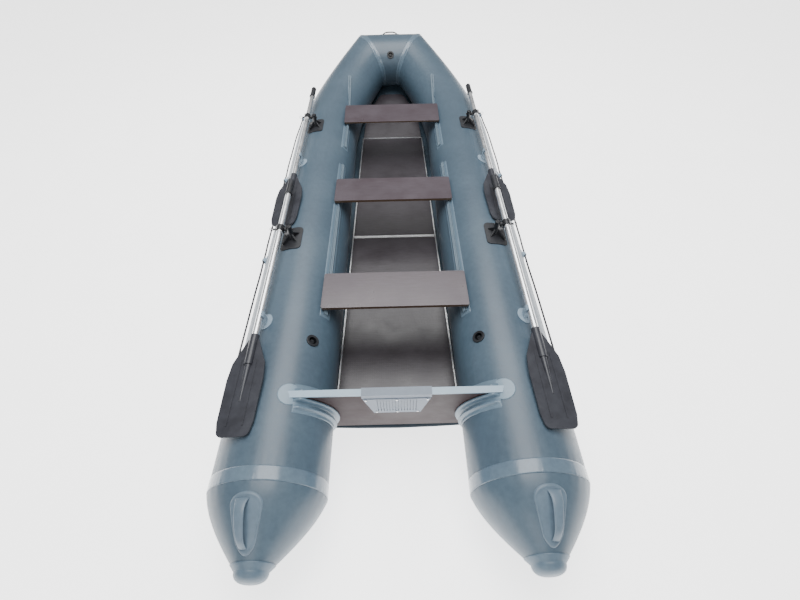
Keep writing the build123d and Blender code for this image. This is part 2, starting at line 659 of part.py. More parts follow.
seats = {}
sliders = {}
for name, y in seat_places.items():
    seats[name] = board(y)
    sliders[name] = both(extrude(keder_profile(y + seat_slider_length / 2), seat_slider_length))
bow_seat_turn = degrees(bow_seat_place / bow_rail_radius)
bow_slider_turn = degrees((bow_seat_place - seat_slider_length / 2) / bow_rail_radius)
bow_slider = swept(keder_profile(bow_rail[1]), degrees(seat_slider_length / bow_rail_radius)).rotate(
    sweep_axis, bow_slider_turn)
bow_board = board(bow_rail[1]).rotate(sweep_axis, bow_seat_turn)
bow_sagitta = bow_rail_radius - sqrt(bow_rail_radius ** 2 - (seat_depth / 2) ** 2)
bow_cut = swept(Plane(origin=(0, bow_rail[1], rail_z), x_dir=(1, 0, 0), z_dir=(0, -1, 0)) * (
    Pos(0, (seat_gap + strap_thick) / 2) * Rectangle(seat_length + 40, seat_gap + strap_thick)), 24).rotate(sweep_axis, -3)
bow_board = bow_board - bow_cut

# ---------------------------------------------------------------- oars


def oar_frame(place):
    """Location of an oar's collar, its +Y towards the grip and its +X outboard."""
    origin = Vector(oar_offset, place, oar_height)
    aft = Vector(sin(radians(oar_yaw)) * cos(radians(oar_slope)), -cos(radians(oar_yaw)) * cos(radians(oar_slope)),
                 -sin(radians(oar_slope)))
    across = Vector(cos(radians(oar_yaw)), sin(radians(oar_yaw)), 0)
    upward = across.cross(-aft)
    return Plane(origin=origin, x_dir=across, z_dir=upward)


def along(start, end, radius):
    """Round bar along the oar, between two distances forward of the collar."""
    return Plane(origin=(0, start, 0), z_dir=(0, 1, 0)) * Cylinder(
        radius, end - start, align=(Align.CENTER, Align.CENTER, Align.MIN))


def oar_shaft():
    """Tubular shaft with a stop ring each side of the collar and a snap button at the joint."""
    shaft = along(-blade_start - 45, shaft_fore + 40, shaft_radius)
    stop = collar_length / 2 + 1
    shaft += along(stop, stop + 9, shaft_radius + 4)
    shaft += along(-stop - 9, -stop, shaft_radius + 4)
    shaft += Pos(0, -330, shaft_radius) * Cylinder(4, 3)
    return shaft - along(-blade_start - 60, shaft_fore + 60, shaft_bore)


def oar_grip():
    """Ribbed hand grip with a rounded end."""
    start = shaft_fore
    grip = along(start, start + grip_length, grip_radius)
    grip += along(start, start + 8, grip_radius + 3)
    grip = fillet(grip.edges().group_by(Axis.Y)[-1], grip_radius * 0.45)
    return grip - along(start - 1, start + 40 + board_gap, shaft_radius + running_gap)


def oar_blade():
    """Flat blade with a socket, a spine and raised ribs on both faces."""
    half = blade_width / 2
    tip = -blade_start - blade_length
    outline = [(-24, -blade_start), (24, -blade_start), (half - 8, -blade_start - 120), (half, -blade_start - 200),
               (half * 0.95, tip + 60), (half * 0.80, tip), (-half * 0.80, tip), (-half * 0.95, tip + 60),
               (-half, -blade_start - 200), (-half + 8, -blade_start - 120)]
    sheet = extrude(make_face(Polyline(*outline, close=True)), blade_thick / 2, both=True)
    sheet = fillet(sheet.edges().filter_by(Axis.Z).sort_by(Axis.Y)[:2], 26)
    socket = along(-blade_start - 130, -blade_start + 22, shaft_radius + 4.5)
    spine = Plane(origin=(0, tip + 150, 0), z_dir=(0, 1, 0)) * Cone(
        blade_thick / 2 + blade_rib, shaft_radius + 1, blade_length - 150 - 110, align=(Align.CENTER, Align.CENTER, Align.MIN))
    blade = sheet + socket + spine
    for x in (-half * 0.42, half * 0.42):
        blade += Pos(x, tip + 195, 0) * Box(7, 300, blade_thick + 2 * blade_rib)
    return blade - along(-blade_start - 45 - board_gap, -blade_start + 40, shaft_radius + running_gap)


def oar_collar():
    """Ring round the shaft with a stub pin towards the swivel and a ring eye outboard."""
    ring = along(-collar_length / 2, collar_length / 2, collar_outer)
    pin_plane = Plane(origin=(0, 0, 0), z_dir=(-1, 0, 0))
    ring += pin_plane * Cylinder(swivel_pin, swivel_arm + swivel_radius + 6, align=(Align.CENTER, Align.CENTER, Align.MIN))
    lug = Plane(origin=(collar_outer - 3, 0, 0), z_dir=(1, 0, 0)) * Cylinder(
        5, 19, align=(Align.CENTER, Align.CENTER, Align.MIN))
    bore = along(-collar_length, collar_length, shaft_radius + running_gap)
    wire = Pos(collar_outer + 23, 0, 0) * Rot(90, 0, 0) * Torus(11, 1.2)
    return ring + lug - bore, wire


head_low = oar_height - swivel_head / 2
barrel_top = head_low - head_gap


def swivel(place):
    """Turning head with a pin down into the base and a cross bore for the collar's stub."""
    x = oar_offset - swivel_arm
    head = Pos(x, place, head_low) * Cylinder(swivel_radius, swivel_head, align=(Align.CENTER, Align.CENTER, Align.MIN))
    head = fillet(head.edges().group_by(Axis.Z)[-1], 4)
    arm_length = swivel_arm - collar_outer - 1.0
    arm = Plane(origin=(x, place, oar_height), x_dir=(0, 0, 1), z_dir=(1, 0, 0)) * Cylinder(
        11.5, arm_length, align=(Align.CENTER, Align.CENTER, Align.MIN))
    pin = Pos(x, place, barrel_top - 40) * Cylinder(swivel_pin, head_low + 1 - barrel_top + 40,
                                                    align=(Align.CENTER, Align.CENTER, Align.MIN))
    frame = Plane(origin=(oar_offset, place, oar_height), z_dir=oar_frame(place).x_dir)
    bore = frame * Cylinder(swivel_pin + running_gap, 400)
    return head + arm + pin - bore


pad_length = 180.0
pad_width = 118.0
pad_thick = 4.0


def oarlock_base(place):
    """Rubber pad with four ribs up to a round barrel for the swivel's pin."""
    x = oar_offset - swivel_arm
    shell = Plane(origin=(tube_offset, place - 200, tube_radius), z_dir=(0, 1, 0)) * (
        Cylinder(tube_radius + pad_thick, 400, align=(Align.CENTER, Align.CENTER, Align.MIN))
        - Cylinder(tube_radius, 400, align=(Align.CENTER, Align.CENTER, Align.MIN)))
    outline = Pos(x, place, 440) * extrude(RectangleRounded(pad_width, pad_length, 26), 90)
    base = shell & outline
    surface = tube_radius + sqrt(tube_radius ** 2 - (x - tube_offset) ** 2)
    barrel = Pos(x, place, surface - 12) * Cylinder(swivel_radius, barrel_top - surface + 12,
                                                    align=(Align.CENTER, Align.CENTER, Align.MIN))
    high = barrel_top - surface - 8
    ribs = []
    for turn in (45, 135, 225, 315):
        rib = extrude(Plane.XZ * make_face(Polyline((0, -45), (66, -45), (66, 0), (swivel_radius, high), (0, high),
                                                    close=True)), 3.5, both=True)
        ribs.append(Pos(x, place, surface) * Rot(0, 0, turn) * rib)
    body = barrel + [rib & outline for rib in ribs]
    tube_core = Plane(origin=(tube_offset, place - 200, tube_radius), z_dir=(0, 1, 0)) * Cylinder(
        tube_radius, 400, align=(Align.CENTER, Align.CENTER, Align.MIN))
    bore = Pos(x, place, barrel_top - 42) * Cylinder(swivel_pin + running_gap, 60,
                                                     align=(Align.CENTER, Align.CENTER, Align.MIN))
    return base + (body - tube_core) - bore


def oar_clip(place, behind):
    """Padded hook on the tube that the shaft rests in, open outboard."""
    frame = oar_frame(place)
    centre = frame.origin + frame.y_dir * (-behind)
    inner = shaft_radius + 2.0
    outer = inner + 5.0
    reach = 60.0
    fan = [(0, 0)] + [(reach * cos(radians(a)), reach * sin(radians(a))) for a in (118, 170, 225, 273)]
    local = Plane(origin=centre, x_dir=(1, 0, 0), z_dir=(0, -1, 0))
    hook = local * extrude((Circle(outer) - Circle(inner)) & make_face(Polyline(*fan, close=True)), 15, both=True)
    foot_x = centre.X - inner - 1
    foot_z = tube_radius + sqrt(tube_radius ** 2 - (foot_x - tube_offset) ** 2)
    stem = Pos(foot_x + 4, centre.Y, (foot_z - 14 + centre.Z) / 2 - 4) * Box(18, 30, centre.Z - foot_z + 6)
    stem = stem - local * Cylinder(inner + 2, 60)
    shell = Plane(origin=(tube_offset, centre.Y - 100, tube_radius), z_dir=(0, 1, 0)) * (
        Cylinder(tube_radius + 3, 200, align=(Align.CENTER, Align.CENTER, Align.MIN))
        - Cylinder(tube_radius, 200, align=(Align.CENTER, Align.CENTER, Align.MIN)))
    disc = Pos(foot_x + 4, centre.Y, 430) * extrude(Ellipse(36, 44), 90)
    core = Plane(origin=(tube_offset, centre.Y - 100, tube_radius), z_dir=(0, 1, 0)) * Cylinder(
        tube_radius, 200, align=(Align.CENTER, Align.CENTER, Align.MIN))
    return hook + (stem - core) + (disc & shell)


# ---------------------------------------------------------------- rope, eyelets, handles, towing ring
eyelet_pad = 30.0
eyelet_hole = rope_radius + 3.5


def eyelet(s):
    """Glued disc with a domed lug that the grab line runs through."""
    centre, forward, first, second, radius = station(s)
    plane = Plane(origin=on_tube(s, eyelet_angle), x_dir=forward, z_dir=tube_normal(s, eyelet_angle))
    disc = plane * Pos(0, 0, -6) * Cylinder(eyelet_pad, 9, align=(Align.CENTER, Align.CENTER, Align.MIN))
    dome = plane * (Pos(0, 0, rope_stand_off - 8) * Sphere(17.5) & Pos(0, 0, 20) * Box(60, 26, 50))
    body = disc + dome
    hole = Plane(origin=on_tube(s, eyelet_angle, rope_stand_off), z_dir=forward) * Cylinder(eyelet_hole, 90)
    return body - hole - tube_solid(cone_start + 200, 0.0)


bow_handle_span = 150.0
bow_handle_angle = 30.0
bow_handle_plane = Plane(origin=on_bow(0, bow_handle_angle), x_dir=(1, 0, 0),
                         z_dir=(on_bow(0, bow_handle_angle, 10) - on_bow(0, bow_handle_angle)).normalized())
bow_arch = bow_handle_plane * Rot(90, 0, 0) * (
    extrude(make_face(Polyline((-bow_handle_span / 2 - 18, -12), (-bow_handle_span / 2 - 18, 6),
                               (-bow_handle_span / 2 + 14, 24), (bow_handle_span / 2 - 14, 24),
                               (bow_handle_span / 2 + 18, 6), (bow_handle_span / 2 + 18, -12), close=True)),
            15, both=True)
    - extrude(make_face(Polyline((-bow_handle_span / 2 + 4, -14), (-bow_handle_span / 2 + 4, 5),
                                 (-bow_handle_span / 2 + 18, 19), (bow_handle_span / 2 - 18, 19),
                                 (bow_handle_span / 2 - 4, 5), (bow_handle_span / 2 - 4, -14), close=True)),
              20, both=True))
bow_pad = (bow_handle_plane * extrude(SlotOverall(210, 60), 40, both=True)) & (bow_solid(2.5) - bow_outer)
bow_handle = [bow_arch - bow_solid(2.5), bow_pad]

tow_angle = 128.0
tow_plane = Plane(origin=on_bow(0, tow_angle), x_dir=(1, 0, 0),
                  z_dir=(on_bow(0, tow_angle, 10) - on_bow(0, tow_angle)).normalized())
tow_pad = (tow_plane * extrude(Circle(55), 40, both=True)) & (bow_solid(3) - bow_outer)
tow_lug = tow_plane * Pos(0, 0, 8) * Box(60, 22, 12) - bow_solid(3) - tow_plane * Pos(0, 0, 10) * Rot(0, 90, 0) * Cylinder(
    4.4, 80)
tow_ring = tow_plane * Pos(0, 0, 10) * (
    Rot(0, 90, 0) * Cylinder(4, 74) + Pos(-37, -20, 0) * Rot(90, 0, 0) * Cylinder(4, 44)
    + Pos(37, -20, 0) * Rot(90, 0, 0) * Cylinder(4, 44) + Pos(0, -42, 0) * Rot(0, 90, 0) * Cylinder(4, 82))

# the starboard grab line from the bow eyelet to the stern eyelet, hanging slack between them
rope_route = [
    Vector(745, 2772, 325), Vector(751, 2712, 337), Vector(754, 2654, 338), Vector(768, 2585, 315),
    Vector(789, 2496, 288), Vector(800, 2388, 266), Vector(805, 2270, 255), Vector(806, 2152, 257),
    Vector(801, 2040, 268), Vector(790, 1942, 288), Vector(778, 1872, 312), Vector(774, 1829, 327),
    Vector(774, 1772, 327), Vector(782, 1704, 309), Vector(795, 1615, 285), Vector(804, 1504, 264),
    Vector(807, 1388, 257), Vector(804, 1272, 263), Vector(795, 1162, 284), Vector(782, 1076, 309),
    Vector(774, 1009, 327), Vector(774, 952, 327), Vector(781, 886, 307), Vector(795, 798, 281),
    Vector(805, 688, 259), Vector(808, 570, 251), Vector(804, 452, 260), Vector(794, 344, 283),
    Vector(781, 262, 310), Vector(774, 208, 327), Vector(774, 150, 327), Vector(777, 96, 317),
]


def rope_radii(points):
    """Arc radius for each corner of the route."""
    radii = []
    for before, here, after in zip(points, points[1:], points[2:]):
        first = here - before
        second = after - here
        turn = radians(first.get_angle(second))
        radii.append(0.45 * min(first.length, second.length) / tan(turn / 2))
    return radii


route_radii = rope_radii(rope_route)
rope_path = FilletPolyline(*rope_route, radius=route_radii)
rope_plane = Plane(origin=rope_route[0], z_dir=rope_route[1] - rope_route[0])
grab_line = sweep(rope_plane * Circle(rope_radius), path=rope_path)
print("grab line radii", [round(r) for r in route_radii])
print("grab line length", round(rope_path.length), "volume share",
      round(grab_line.volume / (pi * rope_radius ** 2 * rope_path.length), 4))

# ---------------------------------------------------------------- nodes
nodes = {
    "starboard_tube": [starboard_tube],
    "port_tube": [mirrored(starboard_tube)],
    "bow_tube": [bow_tube],
    "stern_cones": both(cone_shell),
    "cone_end_caps": both(end_cap),
    "cone_handles": both(cone_pad) + both(cone_strap),
    "chamber_walls": both(bulkhead),
    "seam_tapes": both(bow_tape) + both(stern_tape),
    "rub_strakes": both(side_strake) + [bow_strake] + both(spray_strip),
    "hull_bottom": [bottom_skin],
    "keelson": [keelson],
    "floor_panels": floor_panels,
    "floor_bow_panel": [bow_panel],
    "floor_cross_profiles": profiles,
    "floor_side_stringers": both(stringer),
    "transom_board": [transom],
    "transom_top_cap": [top_cap],
    "transom_sleeves": both(sleeve),
    "motor_pads": [outer_plate, inner_plate, hood],
    "motor_pad_screws": pad_screws,
    "seat_rails": both(long_rail_solid) + both(bow_rail_solid),
    "aft_seat_board": [seats["aft"]],
    "aft_seat_sliders": sliders["aft"],
    "middle_seat_board": [seats["middle"]],
    "middle_seat_sliders": sliders["middle"],
    "bow_seat_board": [bow_board],
    "bow_seat_sliders": both(bow_slider),
    "valve_bodies": both(side_valve) + [bow_valve],
    "starboard_valve_plunger": [side_plunger],
    "port_valve_plunger": [port_plunger],
    "bow_valve_plunger": [bow_plunger],
    "bow_carry_handle": bow_handle,
    "towing_ring": [tow_pad + tow_lug, tow_ring],
    "rope_eyelets": sum([both(eyelet(s)) for s in eyelet_places], []),
    "starboard_grab_line": [grab_line],
    "port_grab_line": [mirrored(grab_line)],
}

bases = []
clips = []
for end, place in collar_places.items():
    bases += both(oarlock_base(place))
    clips += both(oar_clip(place, clip_places[end]))
    frame = oar_frame(place)
    roll = Rot(0, blade_roll, 0)
    pieces = {
        "swivel": [swivel(place)],
        "collar": [frame * piece for piece in oar_collar()],
        "oar_shaft": [frame * roll * oar_shaft()],
        "oar_grip": [frame * roll * oar_grip()],
        "oar_blade": [frame * roll * oar_blade()],
    }
    for piece, shapes in pieces.items():
        nodes["starboard_" + end + "_" + piece] = shapes
        nodes["port_" + end + "_" + piece] = [mirrored(shape) for shape in shapes]
nodes["oarlock_bases"] = bases
nodes["oar_clips"] = clips

# ---------------------------------------------------------------- origin and files
cord_nodes = ("starboard_grab_line", "port_grab_line")
extent = Compound(children=[Compound(solids_of(shapes)) for name, shapes in nodes.items() if name not in cord_nodes])
box = extent.bounding_box()
origin_shift = -(box.min.Y + box.max.Y) / 2

os.makedirs("parts", exist_ok=True)
for name, shapes in nodes.items():
    whole = solids_of(shapes)
    shape = whole[0] if len(whole) == 1 else Compound(whole)
    export_step(Pos(0, origin_shift, 0) * shape, "parts/" + name + ".step")
print("nodes", len(nodes), "shift", round(origin_shift, 3), "length", round(box.size.Y), "beam", round(box.size.X),
      "height", round(box.size.Z), "lowest", round(box.min.Z, 2))
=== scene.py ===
from math import cos, pi, radians, sin

import bpy
import numpy as np
from mathutils import Matrix, Vector


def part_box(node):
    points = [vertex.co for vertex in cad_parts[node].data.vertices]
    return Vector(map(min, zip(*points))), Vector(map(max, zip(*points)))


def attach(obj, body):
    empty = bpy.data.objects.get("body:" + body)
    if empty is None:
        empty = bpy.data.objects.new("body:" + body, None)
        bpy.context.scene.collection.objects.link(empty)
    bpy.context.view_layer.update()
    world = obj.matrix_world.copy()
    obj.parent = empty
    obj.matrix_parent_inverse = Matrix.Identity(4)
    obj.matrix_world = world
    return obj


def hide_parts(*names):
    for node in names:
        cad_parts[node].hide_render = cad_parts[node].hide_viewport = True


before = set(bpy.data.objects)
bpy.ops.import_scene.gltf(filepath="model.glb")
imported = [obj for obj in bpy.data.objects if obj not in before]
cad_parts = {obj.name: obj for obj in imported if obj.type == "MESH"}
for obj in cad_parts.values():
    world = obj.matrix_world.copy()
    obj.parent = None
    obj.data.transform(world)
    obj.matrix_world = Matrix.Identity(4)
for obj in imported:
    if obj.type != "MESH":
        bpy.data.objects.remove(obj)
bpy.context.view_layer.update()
scene = bpy.context.scene
print("frame loaded:", len(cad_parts), "nodes")

# boat frame to row frame: the boat's zero is the aft edge of the transom top
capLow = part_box("cone_end_caps")[0]
shift = capLow.y + 0.643


# camera
cameraSet = {"place": (0.0168, -0.8863, 2.1128), "pitch": 0.8618, "yaw": 0.0061, "roll": -0.0198, "lens": 433 / 800 * 36}


def makeCamera(c):
    # forward looks down by the pitch, then the whole turns by the yaw about Z and by the roll about itself
    forward = np.array([0, cos(c["pitch"]), -sin(c["pitch"])])
    up = np.array([0, sin(c["pitch"]), cos(c["pitch"])])
    right = np.array([1.0, 0, 0])
    turn = np.array([[cos(-c["yaw"]), -sin(-c["yaw"]), 0], [sin(-c["yaw"]), cos(-c["yaw"]), 0], [0, 0, 1]])
    right, up, forward = turn @ right, turn @ up, turn @ forward
    right, up = cos(c["roll"]) * right + sin(c["roll"]) * up, -sin(c["roll"]) * right + cos(c["roll"]) * up
    data = bpy.data.cameras.new("viewCamera")
    data.lens = c["lens"]
    data.sensor_width = 36
    data.clip_end = 60
    camera = bpy.data.objects.new("viewCamera", data)
    scene.collection.objects.link(camera)
    place = np.array(c["place"]) + (0, shift, 0)
    camera.matrix_world = Matrix([[right[i], up[i], -forward[i], place[i]] for i in range(3)] + [[0, 0, 0, 1]])
    scene.camera = camera


makeCamera(cameraSet)


# helpers
def linear(hexText):
    # sRGB hex to linear light: a power of 2.4 above the straight foot
    parts = [int(hexText[i:i + 2], 16) / 255 for i in (1, 3, 5)]
    return tuple(c / 12.92 if c <= 0.04045 else ((c + 0.055) / 1.055) ** 2.4 for c in parts) + (1.0,)


def add(tree, kind, settings=None, links=None):
    # a node with its attributes, socket values and incoming links
    made = tree.nodes.new(kind)
    for key, value in (settings or {}).items():
        if isinstance(key, str) and hasattr(made, key):
            setattr(made, key, value)
        else:
            made.inputs[key].default_value = value
    for key, source in (links or {}).items():
        tree.links.new(source, made.inputs[key])
    return made


def newMaterial(name):
    made = bpy.data.materials.new(name)
    made.use_nodes = True
    made.node_tree.nodes.clear()
    return made, made.node_tree


def finishMaterial(tree, shader):
    out = add(tree, "ShaderNodeOutputMaterial")
    tree.links.new(shader.outputs[0], out.inputs["Surface"])


def ramp(tree, source, stops):
    made = add(tree, "ShaderNodeValToRGB", links={"Fac": source})
    band = made.color_ramp
    while len(band.elements) < len(stops):
        band.elements.new(0.5)
    for element, (place, colour) in zip(band.elements, stops):
        element.position = place
        element.color = colour
    return made


def grey(level):
    return (level, level, level, 1.0)


def addMesh(name, points, faces, material, uv=None, smooth=True):
    mesh = bpy.data.meshes.new(name)
    mesh.from_pydata([], [], [])
    faces = [np.asarray(f) for f in faces if len(f)]
    points = np.asarray(points, float).reshape(-1, 3) + (0, shift, 0)
    corners = np.concatenate([f.reshape(-1) for f in faces])
    sizes = np.concatenate([np.full(len(f), f.shape[1]) for f in faces])
    mesh.vertices.add(len(points))
    mesh.vertices.foreach_set("co", points.astype(np.float32).reshape(-1))
    mesh.loops.add(len(corners))
    mesh.loops.foreach_set("vertex_index", corners.astype(np.int32))
    mesh.polygons.add(len(sizes))
    mesh.polygons.foreach_set("loop_start", np.concatenate([[0], np.cumsum(sizes)[:-1]]).astype(np.int32))
    if uv is not None:
        layer = mesh.uv_layers.new(name="UVMap")
        layer.data.foreach_set("uv", np.asarray(uv, np.float32)[corners].reshape(-1))
    mesh.update(calc_edges=True)
    mesh.validate()
    mesh.polygons.foreach_set("use_smooth", [smooth] * len(mesh.polygons))
    made = bpy.data.objects.new(name, mesh)
    scene.collection.objects.link(made)
    made.data.materials.append(material)
    return made


def gridFaces(rows, columns, closeRows=False, closeColumns=False, start=0, flip=False):
    # quads between neighbours of a grid whose points run row by row
    r = np.arange(rows if closeRows else rows - 1)
    c = np.arange(columns if closeColumns else columns - 1)
    r, c = np.meshgrid(r, c, indexing="ij")
    r2, c2 = (r + 1) % rows, (c + 1) % columns
    quads = np.stack([r * columns + c, r * columns + c2, r2 * columns + c2, r2 * columns + c], -1).reshape(-1, 4)
    return (quads[:, ::-1] if flip else quads) + start


def fanFaces(ring, pole, flip=False):
    # triangles from a closed ring of points to its pole
    after = np.roll(ring, -1)
    tris = np.stack([np.full(len(ring), pole), ring, after], -1)
    return tris[:, ::-1] if flip else tris


def closedTube(grid, flip=False):
    # a grid whose columns go round, with a pole at the middle of each end
    rows, columns = grid.shape[:2]
    points = np.vstack([grid.reshape(-1, 3), grid[0].mean(0)[None], grid[-1].mean(0)[None]])
    faces = [gridFaces(rows, columns, closeColumns=True, flip=flip),
             fanFaces(np.arange(columns), rows * columns, not flip),
             fanFaces(np.arange(columns) + (rows - 1) * columns, rows * columns + 1, flip)]
    return points, faces


def turnOutward(piece):
    # makes every face of a closed piece point out, after its doubles are merged
    import bmesh
    work = bmesh.new()
    work.from_mesh(piece.data)
    bmesh.ops.remove_doubles(work, verts=work.verts, dist=1e-6)
    bmesh.ops.recalc_face_normals(work, faces=work.faces)
    work.to_mesh(piece.data)
    work.free()
    return piece


def stripBetween(low, high):
    # closed strip from a lower and an upper grid with the same points
    rows, columns = low.shape[:2]
    count = rows * columns
    points = np.vstack([low.reshape(-1, 3), high.reshape(-1, 3)])
    faces = [gridFaces(rows, columns), gridFaces(rows, columns, start=count, flip=True)]
    index = np.arange(count).reshape(rows, columns)
    for line in (index[0], index[:, -1], index[-1][::-1], index[::-1, 0]):
        a, b = line[:-1], line[1:]
        faces.append(np.stack([a, a + count, b + count, b], -1))
    return points, faces


def smoothStep(x):
    x = np.clip(x, 0, 1)
    return x * x * (3 - 2 * x)


# materials


def pvcFabric(name, base, deep, pale, roughness, coat, weave=0.10):
    # calendered PVC on polyester cloth: an even satin skin, a faint cloth print under it and slow tone changes
    made, tree = newMaterial(name)
    place = add(tree, "ShaderNodeTexCoord")
    slow = add(tree, "ShaderNodeTexNoise", {"Scale": 2.6, "Detail": 3.0, "Roughness": 0.55},
               {"Vector": place.outputs["Object"]})
    mid = add(tree, "ShaderNodeTexNoise", {"Scale": 42.0, "Detail": 4.0, "Roughness": 0.6},
              {"Vector": place.outputs["Object"]})
    tone = ramp(tree, slow.outputs["Fac"], [(0.30, linear(deep)), (0.52, linear(base)), (0.74, linear(pale))])
    fleck = ramp(tree, mid.outputs["Fac"], [(0.35, grey(0.93)), (0.65, grey(1.05))])
    colour = add(tree, "ShaderNodeMix", {"data_type": "RGBA", "blend_type": "MULTIPLY", "Factor": 1.0})
    tree.links.new(tone.outputs["Color"], colour.inputs[6])
    tree.links.new(fleck.outputs["Color"], colour.inputs[7])
    dull = ramp(tree, mid.outputs["Fac"], [(0.3, grey(roughness - 0.04)), (0.7, grey(roughness + 0.07))])
    # cloth print, threads 4 mm apart: coarser than the real 1 mm, so that it shows
    cloth = add(tree, "ShaderNodeTexNoise", {"Scale": 420.0, "Detail": 2.0}, {"Vector": place.outputs["Object"]})
    ripple = add(tree, "ShaderNodeTexNoise", {"Scale": 6.0, "Detail": 2.0, "Distortion": 0.4},
                 {"Vector": place.outputs["Object"]})
    fine = add(tree, "ShaderNodeBump", {"Strength": weave, "Distance": 0.0005}, {"Height": cloth.outputs["Fac"]})
    broad = add(tree, "ShaderNodeBump", {"Strength": 0.16, "Distance": 0.006},
                {"Height": ripple.outputs["Fac"], "Normal": fine.outputs["Normal"]})
    shader = add(tree, "ShaderNodeBsdfPrincipled", {"IOR": 1.52, "Coat Weight": coat, "Coat Roughness": 0.30,
                                                    "Specular IOR Level": 0.45},
                 {"Base Color": colour.outputs[2], "Roughness": dull.outputs["Color"],
                  "Normal": broad.outputs["Normal"]})
    finishMaterial(tree, shader)
    return made


pvcTube = pvcFabric("pvcTubeFabric", "#495b69", "#445563", "#51626f", 0.40, 0.14)
pvcTape = pvcFabric("pvcSeamTapeGlossy", "#5c6f7e", "#546778", "#657886", 0.20, 0.55, 0.05)
pvcPatch = pvcFabric("pvcPatchPale", "#788e9d", "#708697", "#8196a5", 0.34, 0.2)
pvcSleeve = pvcFabric("pvcTransomSleeve", "#637787", "#5c7080", "#6c808f", 0.34, 0.25)
pvcHandle = pvcFabric("mouldedHandleRubber", "#5d6f7e", "#566776", "#677887", 0.42, 0.12)
pvcCap = pvcFabric("mouldedConeCap", "#566978", "#4e6171", "#5f7281", 0.42, 0.12)


def mouldedPlastic(name, base, edge, roughness, grain=900.0, coat=0.0, bump=0.12):
    # injection moulded plastic or rubber: fine spark texture, and paler where it is rubbed
    made, tree = newMaterial(name)
    place = add(tree, "ShaderNodeTexCoord")
    speck = add(tree, "ShaderNodeTexNoise", {"Scale": grain, "Detail": 2.0}, {"Vector": place.outputs["Object"]})
    slow = add(tree, "ShaderNodeTexNoise", {"Scale": 14.0, "Detail": 5.0, "Roughness": 0.65},
               {"Vector": place.outputs["Object"]})
    tone = ramp(tree, slow.outputs["Fac"], [(0.35, linear(base)), (0.75, linear(edge))])
    dull = ramp(tree, slow.outputs["Fac"], [(0.3, grey(roughness - 0.06)), (0.7, grey(roughness + 0.08))])
    relief = add(tree, "ShaderNodeBump", {"Strength": bump, "Distance": 0.0004}, {"Height": speck.outputs["Fac"]})
    shader = add(tree, "ShaderNodeBsdfPrincipled", {"IOR": 1.5, "Coat Weight": coat, "Coat Roughness": 0.2},
                 {"Base Color": tone.outputs["Color"], "Roughness": dull.outputs["Color"],
                  "Normal": relief.outputs["Normal"]})
    finishMaterial(tree, shader)
    return made


blackPlastic = mouldedPlastic("glassFilledNylonBlack", "#15161a", "#23252a", 0.34)
blackRubber = mouldedPlastic("mouldedRubberBlack", "#191a1e", "#2a2c31", 0.48)
bladePlastic = mouldedPlastic("polypropyleneBlade", "#26272e", "#34363e", 0.40, coat=0.1)
gripPlastic = mouldedPlastic("ribbedGripPlastic", "#1b1c20", "#2b2d33", 0.52)
padPlastic = mouldedPlastic("motorPadPlastic", "#6c7785", "#7c8795", 0.42)
paleRubber = mouldedPlastic("eyeletRubberPale", "#8093a3", "#94a6b4", 0.46)
strakeRubber = mouldedPlastic("extrudedStrakeRubber", "#53545a", "#66676c", 0.42)
railPlastic = mouldedPlastic("railExtrusionGrey", "#6b7d8b", "#788a96", 0.36)
capPlastic = mouldedPlastic("transomCapExtrusion", "#93abbd", "#a2b8c7", 0.32)
innerCloth = mouldedPlastic("uncoatedInnerCloth", "#4a5157", "#5a6167", 0.8)


def metal(name, base, roughness, scratch, streak):
    # drawn and anodised tube: bright, with fine lines along the draw
    made, tree = newMaterial(name)
    place = add(tree, "ShaderNodeTexCoord")
    along = add(tree, "ShaderNodeMapping", {"Scale": streak}, {"Vector": place.outputs["Object"]})
    line = add(tree, "ShaderNodeTexNoise", {"Scale": 1.0, "Detail": 3.0}, {"Vector": along.outputs["Vector"]})
    smudge = add(tree, "ShaderNodeTexNoise", {"Scale": 18.0, "Detail": 4.0}, {"Vector": place.outputs["Object"]})
    dull = ramp(tree, smudge.outputs["Fac"], [(0.3, grey(roughness - 0.05)), (0.7, grey(roughness + 0.08))])
    tone = ramp(tree, smudge.outputs["Fac"], [(0.3, linear(base)), (0.8, linear("#ffffff"))])
    relief = add(tree, "ShaderNodeBump", {"Strength": scratch, "Distance": 0.0002}, {"Height": line.outputs["Fac"]})
    shader = add(tree, "ShaderNodeBsdfPrincipled", {"Metallic": 1.0},
                 {"Base Color": tone.outputs["Color"], "Roughness": dull.outputs["Color"],
                  "Normal": relief.outputs["Normal"]})
    finishMaterial(tree, shader)
    return made


anodised = metal("anodisedAluminiumTube", "#e9ecef", 0.30, 0.12, (900, 3, 900))
extruded = metal("extrudedAluminiumProfile", "#f2f4f5", 0.34, 0.12, (3, 900, 900))
steel = metal("stainlessSteel", "#d5d6d7", 0.24, 0.06, (300, 300, 300))


